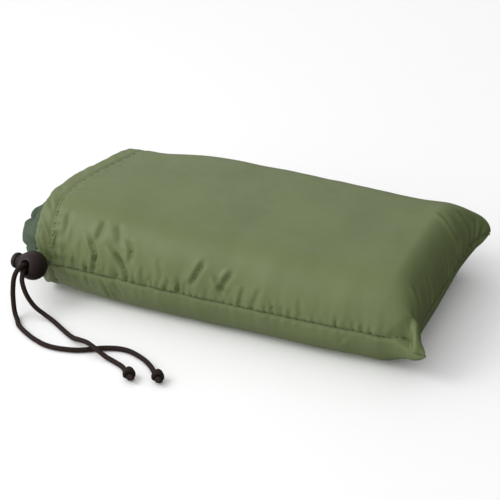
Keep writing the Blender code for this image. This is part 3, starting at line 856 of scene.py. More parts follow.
def tail_knot(name, route, diameter):
    """A stopper knot: the cord wound twice round itself, with a short cut end."""
    end = Vector(route[-1])
    ahead = (end - Vector(route[-2])).normalized()
    ahead.z = 0
    ahead.normalize()
    up = Vector((0, 0, 1))
    side = ahead.cross(up)
    wrap, turns, knot_length, count = 0.0027, 2.0, 0.0062, 30
    axis = end + ahead * 0.0018
    axis.z = wrap + diameter / 2
    points = [end + ahead * 0.0002 + up * 0.0002]
    for k in range(count + 1):
        t = k / count
        angle = 2 * math.pi * turns * t
        grow = wrap * float(step(t * 5)) * float(step((1 - t) * 4 + 0.25))
        points.append(axis + ahead * (knot_length * t) + side * grow * math.cos(angle)
                      + up * grow * math.sin(angle))
    points.append(axis + ahead * (knot_length + 0.0020))
    points.append(axis + ahead * (knot_length + 0.0038) - up * 0.0012)
    return braided_tube(name, smooth_route(points, 0.0004), diameter * 0.92, sides=20)


def make_tail(hand, side, chosen, diameter):
    """One free tail, from inside the lock to its knot on the ground. Hand is left or right."""
    route = smooth_route(tail_route(side, chosen, diameter), 0.0005)
    piece = braided_tube("tail_" + hand, route, diameter)
    finish_piece(piece, "tail_" + hand, FINISHES["cord"], None, "cord", "cord_tail_" + hand)
    knot = tail_knot("knot_" + hand, route, diameter)
    finish_piece(knot, "knot_" + hand, FINISHES["cord"], "sack", "cord", "tail_knot_" + hand)
    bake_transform(piece)


class CampPillowSizes(bpy.types.PropertyGroup):
    """Sizes that a user would change."""
    cord_diameter: FloatProperty(name="Cord diameter", description="Diameter of the braided cord",
                                 default=0.0035, unit="LENGTH")
    cloth_thickness: FloatProperty(name="Cloth thickness",
                                   description="Thickness of the sack's woven cloth",
                                   default=0.0005, unit="LENGTH")
    cloth_spacing: FloatProperty(name="Mesh spacing",
                                 description="Distance between neighbouring points of the cloth",
                                 default=0.0013, unit="LENGTH")
    stitch_length: FloatProperty(name="Stitch length", description="Length of one sewn stitch",
                                 default=0.0025, unit="LENGTH")
    stitch_pitch: FloatProperty(name="Stitch pitch", description="Distance from stitch to stitch",
                                default=0.0030, unit="LENGTH")
    simulation_frames: IntProperty(name="Cloth frames",
                                   description="Frames that the pillow's cloth is inflated for",
                                   default=20)


class CampPillowColours(bpy.types.PropertyGroup):
    """Linear colours of the finishes."""
    taffeta: FloatVectorProperty(name="Taffeta", description="Colour of the sack's cloth",
                                 subtype="COLOR", default=(0.130, 0.163, 0.062))
    # The cover's own teal green, made darker with painted shade of the mouth where it shows.
    cover: FloatVectorProperty(name="Pillow cover", description="Colour of the pillow's cover",
                               subtype="COLOR", default=(0.048, 0.080, 0.042))
    cord: FloatVectorProperty(name="Cord", description="Colour of the braided cord",
                              subtype="COLOR", default=(0.008, 0.005, 0.004))
    plastic: FloatVectorProperty(name="Plastic", description="Colour of the cord lock",
                                 subtype="COLOR", default=(0.013, 0.007, 0.006))
    # The thread's own colour, made darker with painted shade of the seam's groove.
    thread: FloatVectorProperty(name="Thread", description="Colour of the sewing thread",
                                subtype="COLOR", default=(0.045, 0.060, 0.028))
    steel: FloatVectorProperty(name="Spring", description="Colour of the spring wire",
                               subtype="COLOR", default=(0.55, 0.55, 0.56))


def soft_sky(tree):
    """A white surround that is brightest above the front left and dim on the right."""
    sky = tree.nodes.get("Background")
    sky.inputs["Color"].default_value = (1.0, 1.0, 1.0, 1.0)
    place = tree.nodes.new("ShaderNodeTexCoord")
    facing = tree.nodes.new("ShaderNodeVectorMath")
    facing.operation = "DOT_PRODUCT"
    facing.inputs[1].default_value = (-0.66, -0.56, 0.50)
    tree.links.new(place.outputs["Generated"], facing.inputs[0])
    level = tree.nodes.new("ShaderNodeMapRange")
    tree.links.new(facing.outputs["Value"], level.inputs["Value"])
    level.inputs["From Min"].default_value = -0.65
    level.inputs["To Min"].default_value = 0.08
    level.inputs["To Max"].default_value = 1.45
    tree.links.new(level.outputs[0], sky.inputs["Strength"])


class CAMP_OT_stage(bpy.types.Operator):
    """Floor, soft lights and the camera"""
    bl_idname = "camp_pillow.stage"
    bl_label = "Stage and Camera"

    def execute(self, context):
        scene = context.scene
        azimuth, elevation, distance = math.radians(22.93), math.radians(28.79), 1.028
        target = Vector((-0.0039, 0.0, 0.030))
        back = Vector((math.sin(azimuth) * math.cos(elevation),
                       -math.cos(azimuth) * math.cos(elevation), math.sin(elevation)))
        lens = bpy.data.cameras.new("camera")
        lens.lens = 101.1
        lens.sensor_width = 36.0
        lens.shift_x = -0.0087
        lens.shift_y = -0.0115
        lens.clip_start = 0.05
        lens.clip_end = 20.0
        camera = bpy.data.objects.new("camera", lens)
        scene.collection.objects.link(camera)
        camera.location = target + back * distance
        camera.rotation_mode = "QUATERNION"
        camera.rotation_quaternion = (-back).to_track_quat("-Z", "Y")
        scene.camera = camera

        deselect_all()
        bpy.ops.mesh.primitive_plane_add(size=30.0, location=(0, 0, -0.0002))
        floor = context.object
        floor.name = "floor"
        floor.data.materials.append(new_material("pale_floor", (0.92, 0.92, 0.92), 0.9)[0])
        floor.visible_diffuse = False
        floor.visible_glossy = False

        if scene.world is None:
            scene.world = bpy.data.worlds.new("studio")
        scene.world.use_nodes = True
        soft_sky(scene.world.node_tree)
        scene.view_settings.view_transform = "Standard"
        # Each light's name, place, size in metres and power in watts.
        lights = [("key", (-0.62, -0.45, 0.72), 0.5, 3.2), ("back", (-0.6, 1.3, 1.0), 1.2, 2.0)]
        for name, place, size, power in lights:
            lamp = bpy.data.lights.new(name, "AREA")
            lamp.size = size
            lamp.energy = power
            item = bpy.data.objects.new(name, lamp)
            scene.collection.objects.link(item)
            item.location = place
            item.rotation_mode = "QUATERNION"
            item.rotation_quaternion = (-Vector(place)).to_track_quat("-Z", "Y")
        return {"FINISHED"}


class CAMP_OT_cords(bpy.types.Operator):
    """The two free tails of the drawcord with their knots"""
    bl_idname = "camp_pillow.cords"
    bl_label = "Cord Tails"

    def execute(self, context):
        diameter = context.scene.camp_pillow_sizes.cord_diameter
        make_tail("left", 1, LEFT_TAIL, diameter)
        make_tail("right", -1, RIGHT_TAIL, diameter)
        return {"FINISHED"}


def sack_panel(name, up, sizes):
    """The upper or the lower panel, and its flat length and width."""
    points, from_front, from_back, from_mouth, from_end = sack_grid(up, sizes.cloth_spacing)
    relief = sack_relief(points, from_front, from_back, from_mouth, from_end, up)
    normal = outward(points, up)
    points = bend_corners(points + normal * relief[..., None])
    if up < 0:
        points[..., 2] = np.maximum(points[..., 2], 0.0)
    size = (float(from_mouth[-1].max()), float(from_front[:, -1].max()))
    piece = grid_piece(name, points, size)
    face_outwards(piece, Vector((0.0, 0.0, SEAM_HEIGHT)))
    solidify(piece, sizes.cloth_thickness)
    smooth(piece, 60)
    return piece, size


class CAMP_OT_sack(bpy.types.Operator):
    """The sack's two cloth panels with their gathers and creases"""
    bl_idname = "camp_pillow.sack"
    bl_label = "Sack Cloth"

    def execute(self, context):
        sizes = context.scene.camp_pillow_sizes
        for up, half, node in ((1, "upper", "sack_top_panel"), (-1, "lower", "sack_bottom_panel")):
            name = "sack_cloth_" + half
            panel, flat = sack_panel(name, up, sizes)
            finish_piece(panel, name, FINISHES["taffeta"], "sack", "taffeta", node)
        return {"FINISHED"}


# The mouth's hem and the drawcord in it.

def mouth_loop(x, inset):
    """The sack's section at x as a closed loop: from the front seam over the top and under."""
    wide = float(half_width(x)) - inset
    loop = []
    for edge, height in ((SIDE_ROUND_TOP, float(top_z(x) + crown_z(x, 0)) - inset),
                         (SIDE_ROUND_UNDER, float(underside_z(x)) + inset)):
        share, extra, full = rounded_line(edge - inset, SEAM_HEIGHT, 0.1, 0.010)
        rise = height - SEAM_HEIGHT
        side = [(a * wide + b, SEAM_HEIGHT + rise * c) for a, b, c in zip(share, extra, full)]
        loop += side if height > SEAM_HEIGHT else side[-2:0:-1]
    places = [sack_place(x, float(middle_y(x)) + y, z) for y, z in loop]
    return smooth_route(places, 0.0010, closed=True)


def open_loop(x, inset, half_gap):
    """The mouth's loop with a gap round the place where the cord leaves it."""
    loop = mouth_loop(x, inset)
    away = np.hypot(loop[:, 1] - MOUTH_FRONT_Y, loop[:, 2] - SEAM_HEIGHT - LOCK_ABOVE_SEAM)
    loop = np.roll(loop, -int(np.argmin(away)), axis=0)
    spacing = float(np.linalg.norm(loop[1] - loop[0]))
    skip = round(half_gap / spacing)
    return loop[skip:len(loop) - skip]


def hem_section():
    """The hem's outline as (along X, outwards): its outer layer, its fold and its inner layer,
    which closes in on the outer one behind the cord."""
    half = HEM_WIDTH / 2
    thick = HEM_THICKNESS / 2
    pressed, closed_in = 0.0006, 0.0047
    last, first = half + 0.0005, -half + thick
    places = [(a, thick - pressed * float(step((a - 0.0035) / 0.0030)))
              for a in np.linspace(last, first, 12)]
    turn = np.linspace(math.pi / 2, 3 * math.pi / 2, 11)[1:]
    places += [(first + thick * math.cos(t), thick * math.sin(t)) for t in turn]
    places += [(a, -thick + closed_in * float(step((a + 0.0010) / 0.0072)))
               for a in np.linspace(first, last, 12)[1:]]
    places.append(places[0])
    return np.array(places)


def gathers(runs, total, seed):
    """How far the gathered hem stands in or out along its length, in metres."""
    rng = np.random.default_rng(seed)
    made = np.zeros(len(runs))
    at = 0.001
    while at < total:
        near = min(at, total - at)
        size = 0.0005 + 0.0020 * math.exp(-near / 0.018)
        wide = 0.0011 + 0.0022 * (1 - math.exp(-near / 0.030))
        made += size * rng.uniform(-1.0, 0.7) * bell(runs - at, wide)
        at += wide * rng.uniform(1.6, 3.0)
    return made


def mouth_hem(sizes):
    """The doubled cloth round the mouth, gathered hard where the cord leaves it."""
    path = open_loop(MOUTH_X + HEM_WIDTH / 2, HEM_THICKNESS / 2, 0.0010)
    section_x, section_out = hem_section().T
    runs = distances_along(path)
    total = runs[-1]
    near = np.minimum(runs, total - runs)
    out = np.cross(directions(path), (1.0, 0.0, 0.0))
    out /= np.linalg.norm(out, axis=1, keepdims=True)
    if np.sum(out * (path - path.mean(axis=0))) < 0:
        out = -out
    runs = runs[:, None]
    tight = np.exp(-near / 0.009)[:, None]
    free = step((0.0055 - section_x) / 0.006)
    outer = section_out > 0
    across = section_x + HEM_WIDTH / 2
    slanted = runs + np.where(runs < total / 2, 1.0, -1.0) * across
    ripple, sway = (np.interp(slanted, runs[:, 0], gathers(runs[:, 0], total, seed))
                    for seed in (5, 8))
    height = section_out * (1 - 0.15 * tight) + ripple * free
    height = height + 0.0013 * np.exp(-runs / 0.022) * (outer * free)
    for line in HEM_FOLDS:
        height = height + crease(runs, across, line) * outer
    points = path[:, None, :] + out[:, None, :] * (height + 0.0006 * tight)[..., None]
    points[..., 0] += section_x * (1 - 0.25 * tight) + (0.0010 * tight + sway * free * 1.2)
    piece = grid_piece("mouth_hem", points, (total, 2 * HEM_WIDTH + 2 * HEM_THICKNESS), wrap=True)
    face_outwards_tube(piece, path)
    solidify(piece, sizes.cloth_thickness)
    smooth(piece, 60)
    return piece


def face_outwards_tube(piece, path):
    """Turns a tube's faces so that they look away from its middle line."""
    mesh = piece.data
    outward = 0.0
    for face in list(mesh.polygons)[::7]:
        centre = face.center
        nearest = path[np.argmin(np.linalg.norm(path - np.array(centre), axis=1))]
        outward += (centre - Vector(nearest)).dot(face.normal) * face.area
    if outward < 0:
        mesh.flip_normals()


def drawcord_route(diameter):
    """From the lock round the mouth inside the hem and back to the lock."""
    path = open_loop(MOUTH_X + HEM_WIDTH / 2, HEM_THICKNESS / 2, 0.0105) - (0.0012, 0, 0)
    reach = LOCK_DIAMETER / 2
    ends = []
    for side, ring_end in ((1, path[0]), (-1, path[-1])):
        middle = strand_middle(side, diameter)
        lead = [middle - BORE_AXIS * share for share in (GAP / 2, reach * 0.5, reach * 0.85)]
        back = middle - BORE_AXIS * reach * 1.25
        turn = Vector(ring_end).lerp(back, 0.5) + Vector((0, 0.0012, -0.0008 * side))
        ends.append(lead + [back, turn])
    points = ends[0] + [Vector(p) for p in path[::6]] + ends[1][::-1]
    return smooth_route(points, 0.0008)


class CAMP_OT_hem(bpy.types.Operator):
    """The mouth's hem and the drawcord that runs in it"""
    bl_idname = "camp_pillow.hem"
    bl_label = "Mouth Hem and Drawcord"

    def execute(self, context):
        sizes = context.scene.camp_pillow_sizes
        hem = mouth_hem(sizes)
        finish_piece(hem, "mouth_hem", FINISHES["taffeta"], "sack", "taffeta", "drawcord_channel")
        cord = braided_tube("drawcord_braid", drawcord_route(sizes.cord_diameter),
                            sizes.cord_diameter, sides=16, tips=False)
        finish_piece(cord, "drawcord_braid", FINISHES["cord"], None, "cord", "drawcord")
        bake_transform(cord)
        return {"FINISHED"}


# The cord lock, modelled on its plunger's axis and then turned into place.

def axis_matrix(forward, up, place):
    """A frame whose Z runs along the given axis and whose X runs near the given up."""
    z = forward.normalized()
    y = z.cross(up).normalized()
    x = y.cross(z).normalized()
    return Matrix.Translation(place) @ Matrix((x, y, z)).transposed().to_4x4()


def spun(name, profile):
    """A closed turned body: a profile from axis to axis as (radius, height), spun round Z."""
    mesh = bpy.data.meshes.new(name)
    mesh.from_pydata([(r, 0, h) for r, h in profile], [(k, k + 1) for k in range(len(profile) - 1)],
                     [])
    piece = bpy.data.objects.new(name, mesh)
    bpy.context.scene.collection.objects.link(piece)
    make_active(piece)
    bpy.ops.object.mode_set(mode="EDIT")
    bpy.ops.mesh.select_all(action="SELECT")
    bpy.ops.mesh.spin(steps=64, angle=2 * math.pi, center=(0, 0, 0), axis=(0, 0, 1))
    bpy.ops.mesh.select_all(action="SELECT")
    bpy.ops.mesh.remove_doubles(threshold=1e-6)
    bpy.ops.mesh.normals_make_consistent(inside=False)
    bpy.ops.object.mode_set(mode="OBJECT")
    return piece


def slot_tool(height, width, depth):
    """A long tool with a slot's outline: height along X, width along Y."""
    deselect_all()
    bpy.ops.mesh.primitive_cylinder_add(vertices=48, radius=width / 2, depth=depth)
    tool = bpy.context.object
    for side in (1, -1):
        for v in tool.data.vertices:
            if v.co.x * side > 1e-5:
                v.co.x += side * (height - width) / 2
    return tool


def put(piece, place):
    """Moves a piece's mesh to its place."""
    piece.matrix_world = place
    settle(piece)


def cut(piece, tool, place):
    """Cuts a tool's shape out of a piece at the given place, and removes the tool."""
    put(tool, place)
    carve = piece.modifiers.new("carve", "BOOLEAN")
    carve.operation = "DIFFERENCE"
    carve.object = tool
    apply_modifier(piece, carve)
    bpy.data.objects.remove(tool, do_unlink=True)


def soften(piece, width):
    """Rounds a piece's sharp edges."""
    edge = piece.modifiers.new("edge", "BEVEL")
    edge.width = width
    edge.segments = 3
    edge.limit_method = "ANGLE"
    edge.angle_limit = math.radians(38)
    apply_modifier(piece, edge)


def lock_ball():
    """A ball with a collar for the plunger, and a slot right through for the two cords."""
    radius = LOCK_DIAMETER / 2
    cavity = PLUNGER_DIAMETER / 2 + PLUNGER_CLEARANCE
    turn = np.linspace(-math.pi / 2, math.acos(COLLAR_RADIUS / radius), 26)
    profile = [(radius * math.cos(t), radius * math.sin(t)) for t in turn]
    profile[0] = (0.0, -radius)
    rim = profile[-1][1]
    profile += [(COLLAR_RADIUS - 0.0002, rim + 0.0007), (COLLAR_RADIUS - 0.0005, rim + 0.0010),
                (cavity + 0.0003, rim + 0.0010), (cavity, rim + 0.0007)]
    floor = -radius + CAVITY_FLOOR
    profile += [(cavity, floor + 0.0004), (cavity - 0.0004, floor), (0.0, floor)]
    ball = spun("lock_ball", profile)
    centre = lock_centre()
    put(ball, axis_matrix(PLUNGER_AXIS, LOCK_UP, centre))
    cut(ball, slot_tool(BORE_HEIGHT, BORE_WIDTH, 2 * LOCK_DIAMETER),
        axis_matrix(BORE_AXIS, LOCK_UP, centre))
    soften(ball, 0.0005)
    smooth(ball, 35)
    return ball


def lock_button():
    """The plunger: a domed cap over a waist, and a stem with the slot that grips the cords."""
    stem = PLUNGER_DIAMETER / 2
    waist = stem - 0.0010
    inner = PLUNGER_TRAVEL - BORE_WIDTH / 2 - PLUNGER_WEB
    dome = 0.0034
    profile = [(0.0, inner), (stem - 0.0004, inner), (stem, inner + 0.0004), (stem, 0.0105),
               (stem - 0.0003, 0.0109), (waist, 0.0112), (waist, 0.0122),
               (stem - 0.0003, 0.0126), (stem, 0.0130)]
    profile += [(stem * math.cos(t), PLUNGER_REACH - dome + dome * math.sin(t))
                for t in np.linspace(0, math.pi / 2, 10)[:-1]]
    profile.append((0.0, PLUNGER_REACH))
    button = spun("lock_button", profile)
    centre = lock_centre()
    put(button, axis_matrix(PLUNGER_AXIS, LOCK_UP, centre))
    middle = centre + PLUNGER_AXIS * PLUNGER_TRAVEL
    cut(button, slot_tool(PLUNGER_SLOT_HEIGHT, BORE_WIDTH, 2 * LOCK_DIAMETER),
        axis_matrix(BORE_AXIS, LOCK_UP, middle))
    soften(button, 0.0002)
    smooth(button, 35)
    return button


def lock_coil():
    """The wound spring between the ball's floor and the plunger, its foot, and the share of its
    height that is left when the plunger is pressed."""
    low = -LOCK_DIAMETER / 2 + CAVITY_FLOOR + SPRING_WIRE
    high = PLUNGER_TRAVEL - BORE_WIDTH / 2 - PLUNGER_WEB - SPRING_WIRE
    place = axis_matrix(PLUNGER_AXIS, LOCK_UP, lock_centre())
    reach = (SPRING_DIAMETER - SPRING_WIRE) / 2
    route = []
    for share in np.linspace(0, 1, 160):
        angle = 2 * math.pi * SPRING_TURNS * share
        route.append(place @ Vector((reach * math.cos(angle), reach * math.sin(angle),
                                     low + (high - low) * share)))
    coil = braided_tube("lock_coil", np.array(route), SPRING_WIRE, sides=10, strands=0, pitch=1.0)
    return coil, place @ Vector((0, 0, low)), (high - low - PLUNGER_TRAVEL) / (high - low)


class CAMP_OT_lock(bpy.types.Operator):
    """The cord lock: ball, button and spring"""
    bl_idname = "camp_pillow.lock"
    bl_label = "Cord Lock"

    def execute(self, context):
        finish_piece(lock_ball(), "lock_ball", FINISHES["plastic"], "lock", "lock_plastic",
                     "lock_barrel")
        finish_piece(lock_button(), "lock_button", FINISHES["plastic"], "plunger", "lock_plastic",
                     "lock_plunger")
        coil, foot, keep = lock_coil()
        finish_piece(coil, "lock_coil", FINISHES["steel"], "lock", "spring_steel", "lock_spring")
        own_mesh(coil)
        return {"FINISHED"}


# The pillow: a soft block whose bunched end stands out of the mouth.

PILLOW_ROUNDING = 0.019
PILLOW_NET = 0.0042
PILLOW_SWELL = 0.0022
PILLOW_OVER_SEAM = 0.0016

# Folds in the pillow's cover, given as the creases are: across the end in the mouth (sideways,
# up), and along its sides (lengthways, up).
PILLOW_FOLDS = [(-40, 49, -52, 47, -62, 44, -72, 37, 1.3, 4.2), (-50, 43, -58, 36, -65, 28, 1.3, 3.8),
                (-60, 43, -66, 37, -72, 29, 1.1, 3.0), (-46, 57, -54, 54, -64, 50, 1.2, 2.4),
                (-55, 33, -61, 28, -67, 22, 1.2, 2.6), (-66, 41, -73, 35, 1.0, 1.8),
                (-52, 38, -20, 44, 2.6, 2.6), (-60, 20, 4, 30, 3.4, 3.0), (-46, 58, -6, 52, 3.0, 2.4),
                (-20, 58, 6, 34, 3.6, 2.4), (12, 58, 20, 14, 4.0, 3.0), (36, 54, 46, 18, 3.8, 2.6),
                (-70, 16, -40, 10, 3.0, 1.6), (58, 46, 30, 40, 3.0, 1.8)]
SIDE_FOLDS = [(-120, 12, -70, 20, 4.0, 1.8), (-60, 30, -20, 24, 4.5, 1.5), (0, 14, 50, 22, 4.2, 1.6),
              (60, 32, 105, 24, 4.5, 1.6), (-100, 34, -84, 48, 4.0, 1.4), (20, 40, 34, 50, 4.0, 1.3)]


def inflate(piece, frames, cap):
    """Blows the cover up as cloth, and lets no point move further than the cap."""
    start = points_of(piece)
    puff = piece.modifiers.new("puff", "CLOTH")
    cloth = puff.settings
    cloth.quality = 5
    cloth.mass = 0.12
    cloth.tension_stiffness = 12
    cloth.compression_stiffness = 12
    cloth.shear_stiffness = 4
    cloth.bending_stiffness = 0.25
    cloth.use_pressure = True
    cloth.uniform_pressure_force = 4.0
    cloth.shrink_min = -0.05
    cloth.effector_weights.gravity = 0.0
    puff.collision_settings.use_collision = False
    puff.collision_settings.use_self_collision = False
    puff.point_cache.frame_start = 1
    puff.point_cache.frame_end = frames
    scene = bpy.context.scene
    for number in range(1, frames + 1):
        scene.frame_set(number)
    apply_modifier(piece, puff)
    scene.frame_set(1)
    moved = points_of(piece) - start
    far = np.linalg.norm(moved, axis=1, keepdims=True)
    set_points(piece, start + moved * np.minimum(1.0, cap / np.maximum(far, 1e-9)))


def pillow_block(low, high):
    """A rounded block in the pillow's space, with an even net of small faces."""
    deselect_all()
    bpy.ops.mesh.primitive_cube_add(size=1, location=(low + high) / 2)
    piece = bpy.context.object
    piece.scale = high - low
    settle(piece)
    edge = piece.modifiers.new("edge", "BEVEL")
    edge.width = PILLOW_ROUNDING
    edge.segments = 6
    apply_modifier(piece, edge)
    net = piece.modifiers.new("net", "REMESH")
    net.mode = "VOXEL"
    net.voxel_size = PILLOW_NET
    apply_modifier(piece, net)
    return piece


def lean_with_mouth(points, low, high):
    """The end in the mouth leans with the mouth's plane, and the far end stays square."""
    share = 1 - step((points[:, 0] - low.x) / (high.x - low.x))
    lean = MOUTH_SLANT * share * np.maximum(points[:, 1] / SACK_WIDTH + 0.5, 0.0) ** 2
    bulge = share * bell(points[:, 1] + 0.050, 0.042)
    points[:, 0] += lean - 0.0050 * bulge
    points[:, 2] -= 0.0020 * bulge * step((points[:, 2] - 0.030) / 0.025)
    return points


def refine_open_end(piece, last_x):
    """A net three times as fine where the folds are."""
    shell = bmesh.new()
    shell.from_mesh(piece.data)
    near = [f for f in shell.faces if f.calc_center_median().x < last_x]
    edges = list({e for f in near for e in f.edges})
    bmesh.ops.subdivide_edges(shell, edges=edges, cuts=2, use_grid_fill=True, smooth=0.6)
    shell.to_mesh(piece.data)
    shell.free()


def fan_folds(points):
    """Sharp folds that spread over the end in the mouth from where the cord draws it in."""
    beside, above = points[:, 1] + 0.082, points[:, 2] - 0.020
    angle = np.arctan2(above, beside)
    reach = np.hypot(beside, above)
    drift = noise_at((r * 45, a * 1.5, 0.7) for r, a in zip(reach, angle))
    valley = np.exp(-(np.abs(np.sin(6.5 * angle + 1.1 * drift)) / 0.26) ** 1.3)
    fade = step((reach - 0.004) / 0.008) * (1 - step((reach - 0.040) / 0.040))
    return -0.0052 * valley * fade


def fold_cushion(piece, low_x):
    """Presses the folds into the end in the mouth and the sides, and draws in the seam's line."""
    points = points_of(piece)
    normals = np.array([v.normal for v in piece.data.vertices])
    x, y, z = points.T
    open_end = step((low_x + 0.026 - x) / 0.018)
    relief = np.zeros(len(points))
    for line in PILLOW_FOLDS:
        relief += crease(y, z, line) * open_end
    relief += fan_folds(points) * open_end
    flank = np.abs(normals[:, 1]) ** 2 * (1 - open_end)
    top = np.abs(normals[:, 2]) ** 2 * (1 - open_end)
    for line in SIDE_FOLDS:
        relief += crease(x, z, line) * flank * 0.8
        relief += crease(x, y * 0.5 + 0.030, line) * top * 0.7
    uneven = noise_at(Vector(p) / 0.030 for p in points)
    relief += uneven * (0.0004 + 0.0016 * open_end)
    relief -= 0.0012 * bell(z - SEAM_HEIGHT, 0.0022) * (1 - 0.6 * open_end)
    set_points(piece, points + normals * relief[:, None])


def cushion(sizes):
    """The pillow in the space of its fill and cover, started smaller because it swells."""
    low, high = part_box("pillow_fill")
    cover = Vector((0.0008,) * 3)
    low, high = low - cover, high + cover
    shrunk = Vector((0.0010, 0.0016, 0.0016))
    piece = pillow_block(low + shrunk, high - shrunk)
    points = lean_with_mouth(points_of(piece), low, high)
    points[:, 1] = np.clip(points[:, 1], low.y, high.y)
    set_points(piece, points)
    inflate(piece, sizes.simulation_frames, PILLOW_SWELL)
    finer = piece.modifiers.new("finer", "SUBSURF")
    finer.levels = 1
    finer.render_levels = 1
    apply_modifier(piece, finer)
    refine_open_end(piece, low.x + 0.020)
    fold_cushion(piece, low.x)
    smooth(piece, 70)
    return piece


def box_map(piece):
    """A UV map named cloth in metres, laid from the side that each face looks to."""
    mesh = piece.data
    layer = mesh.uv_layers.new(name="cloth")
    for face in mesh.polygons:
        largest = max(range(3), key=lambda n: abs(face.normal[n]))
        keep = [n for n in range(3) if n != largest]
        for corner in face.loop_indices:
            place = mesh.vertices[mesh.loops[corner].vertex_index].co
            layer.data[corner].uv = (place[keep[0]], place[keep[1]])


class CAMP_OT_pillow(bpy.types.Operator):
    """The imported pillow, inflated as cloth and folded at its open end"""
    bl_idname = "camp_pillow.pillow"
    bl_label = "Pillow"

    def execute(self, context):
        piece = cushion(context.scene.camp_pillow_sizes)
        box_map(piece)
        finish_piece(piece, "pillow_cushion", FINISHES["cover"], "pillow", "pillow_cover",
                     "pillow_cover_upper", "pillow_cover_lower", "pillow_fill")
        return {"FINISHED"}


# Stitches: one short arched stitch, copied along each seam.

def one_stitch(length, thickness):
    """A short thread along X whose ends dip into the cloth."""
    deselect_all()
    bpy.ops.mesh.primitive_uv_sphere_add(segments=6, ring_count=6, radius=0.5)
    piece = bpy.context.object
    for v in piece.data.vertices:
        v.co = Vector((v.co.z * length, v.co.x * thickness, v.co.y * thickness))
        v.co.z -= thickness * 1.2 * (2 * v.co.x / length) ** 2
    layer = piece.data.uv_layers[0]
    layer.name = "cloth"
    for corner in layer.data:
        corner.uv = (corner.uv[0] * thickness, corner.uv[1] * length)
    return piece


def surface_of(*names):
    """The surfaces of the named pieces, to lay stitches on."""
    trees = []
    for name in names:
        mesh = bpy.data.objects[name].data
        points = [v.co.copy() for v in mesh.vertices]
        trees.append(BVHTree.FromPolygons(points, [tuple(f.vertices) for f in mesh.polygons]))
    return trees


def laid_on(trees, place, inward):
    """Where a line from outside first meets the cloth, and the cloth's direction there."""
    reach = 0.012
    inward = Vector(inward).normalized()
    start = Vector(place) - inward * reach
    hits = [t.ray_cast(start, inward, 3 * reach) for t in trees]
    hits = [h for h in hits if h[0] is not None]
    return min(hits, key=lambda h: h[3])[:2] if hits else None


def sew(name, line, trees, sizes):
    """Stitches at an even pitch along a line of (place, inward direction) pairs."""
    thickness = 0.0005
    stitch = one_stitch(sizes.stitch_length, thickness)
    whole = bmesh.new()
    laid = [hit for hit in (laid_on(trees, p, d) for p, d in line) if hit]
    for (here, normal), following in zip(laid, laid[1:]):
        ahead = following[0]
        forward = ahead - here
        if not 0.4 * sizes.stitch_pitch < forward.length < 2.5 * sizes.stitch_pitch:
            continue
        forward.normalize()
        side = normal.cross(forward).normalized()
        up = forward.cross(side).normalized()
        place = Matrix.Translation((here + ahead) / 2 + up * thickness * 0.5)
        turned = place @ Matrix((forward, side, up)).transposed().to_4x4()
        first = len(whole.verts)
        whole.from_mesh(stitch.data)
        whole.verts.ensure_lookup_table()
        bmesh.ops.transform(whole, matrix=turned, verts=whole.verts[first:])
    whole.to_mesh(stitch.data)
    whole.free()
    stitch.name = name
    smooth(stitch, 80)
    return stitch


def side_seam_line(pitch):
    """Just above the seam: along the front, round the closed end and back along the back."""
    height = SEAM_HEIGHT + 0.0012
    line = []
    count = round((CLOSED_X - 0.006 - PANEL_START_X - 0.003) / pitch)
    places = [PANEL_START_X + 0.003 + pitch * k for k in range(count)]
    for side, order in ((-1, places), (1, places[::-1])):
        for x in order:
            y = float(middle_y(x)) + side * float(half_width(x))
            line.append((tuple(sack_place(x, y, height)), (0, -side, 0)))
        if side < 0:
            reach = SACK_WIDTH / 2 - 0.010
            for y in np.linspace(-reach, reach, round(2 * reach / pitch)):
                line.append((tuple(sack_place(CLOSED_X, y, height)), (-1, 0, 0)))
    return line


def hem_line(pitch):
    """Round the mouth, just inside the panels' first edge."""
    loop = open_loop(PANEL_START_X + 0.0016, 0.0, 0.0050)
    loop = loop[::max(1, round(pitch / 0.0010))]
    ahead = np.gradient(loop, axis=0)
    inward = np.cross(ahead, (1.0, 0.0, 0.0))
    if np.sum(inward * (loop - loop.mean(axis=0))) > 0:
        inward = -inward
    return [(tuple(p), tuple(d)) for p, d in zip(loop, inward)]


def pillow_line(pitch):
    """Along the pillow's sides and round its far end, just above its seam."""
    low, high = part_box("pillow_fill")
    line = []
    for side in (-1, 1):
        y = low.y if side < 0 else high.y
        for x in np.arange(low.x + 0.020, high.x - 0.016, pitch):
            line.append(((x, y, SEAM_HEIGHT + PILLOW_OVER_SEAM), (0, -side, 0)))
    for y in np.arange(low.y + 0.018, high.y - 0.018, pitch):
        line.append(((high.x, y, SEAM_HEIGHT + PILLOW_OVER_SEAM), (-1, 0, 0)))
    return line


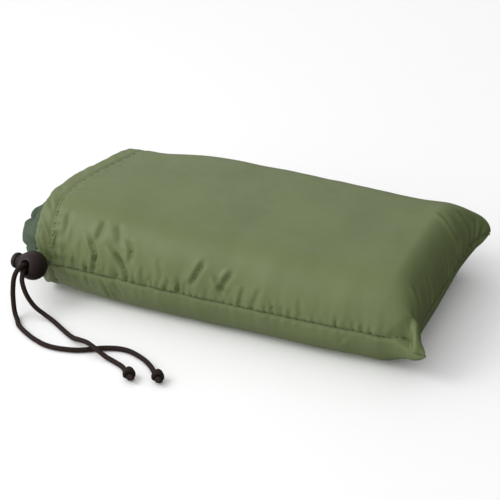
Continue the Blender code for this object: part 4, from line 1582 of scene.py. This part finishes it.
class CAMP_OT_stitching(bpy.types.Operator):
    """The visible stitches of the side seam, the hem and the pillow's cover"""
    bl_idname = "camp_pillow.stitching"
    bl_label = "Stitching"

    def execute(self, context):
        sizes = context.scene.camp_pillow_sizes
        cloth = surface_of("sack_cloth_upper", "sack_cloth_lower")
        cover = surface_of("pillow_cushion")
        seams = (("side_stitches", side_seam_line, cloth, "sack", "side_seam_thread"),
                 ("hem_stitches", hem_line, cloth, "sack", "channel_thread"),
                 ("pillow_stitches", pillow_line, cover, "pillow", "pillow_seam_thread"))
        for name, line, trees, body, node in seams:
            row = sew(name, line(sizes.stitch_pitch), trees, sizes)
            finish_piece(row, name, FINISHES["thread"], body, "thread", node)
        return {"FINISHED"}


class CAMP_PT_panel(bpy.types.Panel):
    """Lists the steps and the sizes"""
    bl_label = "Camp Pillow"
    bl_idname = "CAMP_PT_panel"
    bl_space_type = "VIEW_3D"
    bl_region_type = "UI"
    bl_category = "Camp Pillow"

    def draw(self, context):
        for item in OPERATORS:
            self.layout.operator(item.bl_idname)
        for group in (context.scene.camp_pillow_sizes, context.scene.camp_pillow_colours):
            for key in group.__annotations__:
                self.layout.prop(group, key)


OPERATORS = (CAMP_OT_stage, CAMP_OT_cords, CAMP_OT_sack, CAMP_OT_hem, CAMP_OT_lock,
             CAMP_OT_pillow, CAMP_OT_stitching)
CLASSES = (CampPillowSizes, CampPillowColours, *OPERATORS, CAMP_PT_panel)


def register():
    for item in CLASSES:
        bpy.utils.register_class(item)
    bpy.types.Scene.camp_pillow_sizes = PointerProperty(type=CampPillowSizes)
    bpy.types.Scene.camp_pillow_colours = PointerProperty(type=CampPillowColours)


def unregister():
    del bpy.types.Scene.camp_pillow_colours
    del bpy.types.Scene.camp_pillow_sizes
    for item in reversed(CLASSES):
        bpy.utils.unregister_class(item)


def main():
    register()
    make_finishes(bpy.context.scene.camp_pillow_colours)
    bpy.ops.camp_pillow.stage()
    bpy.ops.camp_pillow.cords()
    bpy.ops.camp_pillow.sack()
    bpy.ops.camp_pillow.hem()
    bpy.ops.camp_pillow.lock()
    bpy.ops.camp_pillow.pillow()
    bpy.ops.camp_pillow.stitching()


if __name__ == "__main__":
    main()
